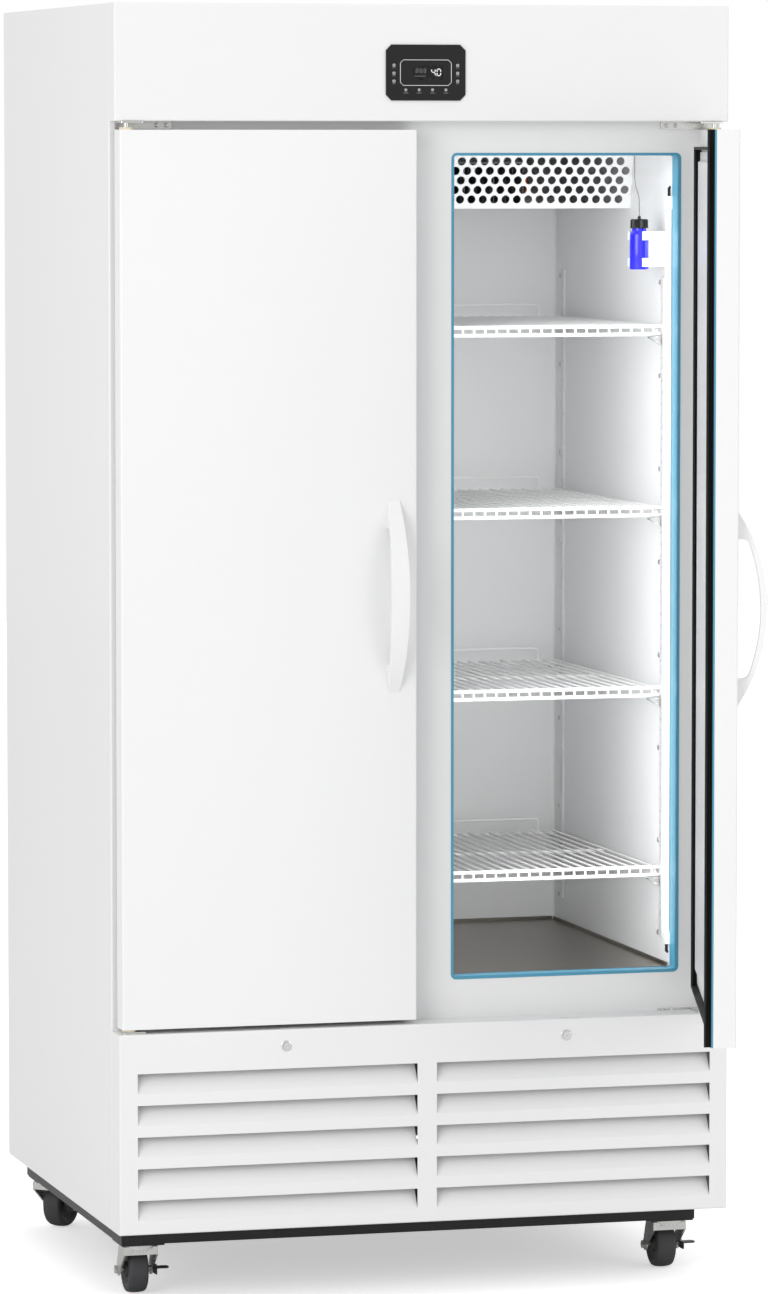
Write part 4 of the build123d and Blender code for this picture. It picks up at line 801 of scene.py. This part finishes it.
def casters():
    """Tyres with recessed sides and dimples, and the balls of each fork's bearing."""
    trail, axle_z = 0.028, 0.038
    dimples, dimple_ring = 12, 0.0187
    balls, ball_ring, ball_z = 24, 0.0262, 0.0777
    side = [(0.0043, 0.019), (0.0065, 0.019), (0.013, 0.0175), (0.0135, 0.0135), (0.0235, 0.0130),
            (0.0255, 0.0145), (0.0275, 0.0158), (0.0335, 0.0158), (0.0355, 0.0148), (0.0368, 0.0125),
            (0.0376, 0.008), (0.0380, 0.003)]
    for corner, (x, y, turn) in CASTERS.items():
        m = Matrix.Translation((x, y, 0)) @ Matrix.Rotation(math.radians(turn), 4, "Z")
        bm = bmesh.new()
        lathe(bm, side + [(r, -h) for r, h in reversed(side)], (0, trail, axle_z), (1, 0, 0), 72)
        for sg in (-1, 1):
            for k in range(dimples):
                a = 2 * math.pi * k / dimples
                y, z = trail + dimple_ring * math.cos(a), axle_z + dimple_ring * math.sin(a)
                p = Vector((sg * 0.0133, y, z))
                d = Vector((0.0006 * sg, 0, 0))
                rod(bm, p - d, p + d, 0.0022, 14)
        bmesh.ops.transform(bm, matrix=m, verts=bm.verts)
        piece(f"tyre_{corner}", bm, TYRE, f"wheel_{corner}", f"caster_{corner}_wheel",
              smooth=True, angle=35)

        bm = bmesh.new()
        for i in range(balls):
            a = 2 * math.pi * i / balls
            p = Vector((ball_ring * math.cos(a), ball_ring * math.sin(a), ball_z))
            bmesh.ops.create_uvsphere(bm, u_segments=10, v_segments=6, radius=0.0019,
                                      matrix=Matrix.Translation(p))
        bmesh.ops.transform(bm, matrix=m, verts=bm.verts)
        piece(f"bearing_{corner}", bm, CHROME, f"caster_{corner}", smooth=True)


panel_marks()
display_figures()
bottle()
fasteners()
casters()


# Camera, light and stage

def add_object(name, data, location, rotation):
    """Puts a camera or a lamp in the scene."""
    o = bpy.data.objects.new(name, data)
    o.location = location
    o.rotation_euler = rotation
    bpy.context.scene.collection.objects.link(o)
    return o


def camera():
    """The camera that fits the cabinet's edges, on a frame 768 wide and 1294 high."""
    wide, high, sensor = 768, 1294, 24
    cam = bpy.data.cameras.new("camera")
    cam.sensor_fit = "VERTICAL"
    cam.sensor_height = sensor
    cam.sensor_width = sensor * wide / high
    cam.lens = 6274.68 / high * sensor
    cam.clip_end = 100
    turn = (math.radians(90 - 4.58), 0, math.radians(-15.29))
    at = (-2.70106, -9.67289 + FRONT, 1.84853)
    bpy.context.scene.camera = add_object("camera", cam, at, turn)


def area(name, at, look, size, power, size_y=None):
    """A rectangular lamp that looks at a point."""
    lamp = bpy.data.lights.new(name, "AREA")
    lamp.shape = "RECTANGLE"
    lamp.size = size
    lamp.size_y = size_y or size
    lamp.energy = power
    turn = (Vector(look) - Vector(at)).to_track_quat("-Z", "Y").to_euler()
    return add_object(name, lamp, at, turn)


def lights():
    """A key from the left, two fills, and a soft lamp in the open doorway that the camera doesn't see."""
    area("key_soft", (-4.6, -4.4, 2.5), (0, 0, 1.0), 3.2, 126)
    area("fill_right", (3.6, -4.4, 1.9), (0.1, 0, 0.9), 3.0, 40)
    area("top_soft", (0, -0.2, 4.6), (0, 0.2, 1), 3.0, 16)
    inside = area("room_soft", (0.247, FRONT + 0.003, 1.165), (0.247, FRONT + 0.5, 1.165), 0.37, 3.0, 1.31)
    inside.visible_camera = False
    inside.visible_glossy = False


def studio():
    """A world that lights at 0.8 and is seen as plain white, directly or through glass."""
    w = bpy.data.worlds.new("studio")
    bpy.context.scene.world = w
    w.use_nodes = True
    nt = w.node_tree
    for n in list(nt.nodes):
        nt.nodes.remove(n)
    out = nt.nodes.new("ShaderNodeOutputWorld")
    mix = nt.nodes.new("ShaderNodeMixShader")
    lit = nt.nodes.new("ShaderNodeBackground")
    seen = nt.nodes.new("ShaderNodeBackground")
    path = nt.nodes.new("ShaderNodeLightPath")
    lit.inputs["Color"].default_value = WHITE
    lit.inputs["Strength"].default_value = 0.80
    seen.inputs["Color"].default_value = WHITE
    seen.inputs["Strength"].default_value = 1.0
    any_ray = nt.nodes.new("ShaderNodeMath")
    any_ray.operation = "MAXIMUM"
    nt.links.new(path.outputs["Is Camera Ray"], any_ray.inputs[0])
    nt.links.new(path.outputs["Is Transmission Ray"], any_ray.inputs[1])
    nt.links.new(any_ray.outputs[0], mix.inputs[0])
    nt.links.new(lit.outputs[0], mix.inputs[1])
    nt.links.new(seen.outputs[0], mix.inputs[2])
    nt.links.new(mix.outputs[0], out.inputs["Surface"])


def studio_floor():
    """A white floor that glows a little to the camera alone, so that it runs into the background."""
    bm = bmesh.new()
    bmesh.ops.create_grid(bm, x_segments=1, y_segments=1, size=14)
    me = bpy.data.meshes.new("studio_floor")
    bm.to_mesh(me)
    bm.free()
    floor = bpy.data.objects.new("studio_floor", me)
    bpy.context.scene.collection.objects.link(floor)
    m = bpy.data.materials.new("floor_white")
    m.use_nodes = True
    nt = m.node_tree
    p = nt.nodes["Principled BSDF"]
    p.inputs["Base Color"].default_value = (0.86, 0.86, 0.86, 1)
    p.inputs["Roughness"].default_value = 0.9
    glow = nt.nodes.new("ShaderNodeEmission")
    glow.inputs["Color"].default_value = WHITE
    add = nt.nodes.new("ShaderNodeAddShader")
    path = nt.nodes.new("ShaderNodeLightPath")
    lift = nt.nodes.new("ShaderNodeMath")
    lift.operation = "MULTIPLY"
    lift.inputs[1].default_value = 0.5
    nt.links.new(path.outputs["Is Camera Ray"], lift.inputs[0])
    nt.links.new(lift.outputs[0], glow.inputs["Strength"])
    nt.links.new(p.outputs[0], add.inputs[0])
    nt.links.new(glow.outputs[0], add.inputs[1])
    nt.links.new(add.outputs[0], nt.nodes["Material Output"].inputs["Surface"])
    me.materials.append(m)


camera()
lights()
studio()
studio_floor()
bpy.context.scene.view_settings.view_transform = "Standard"
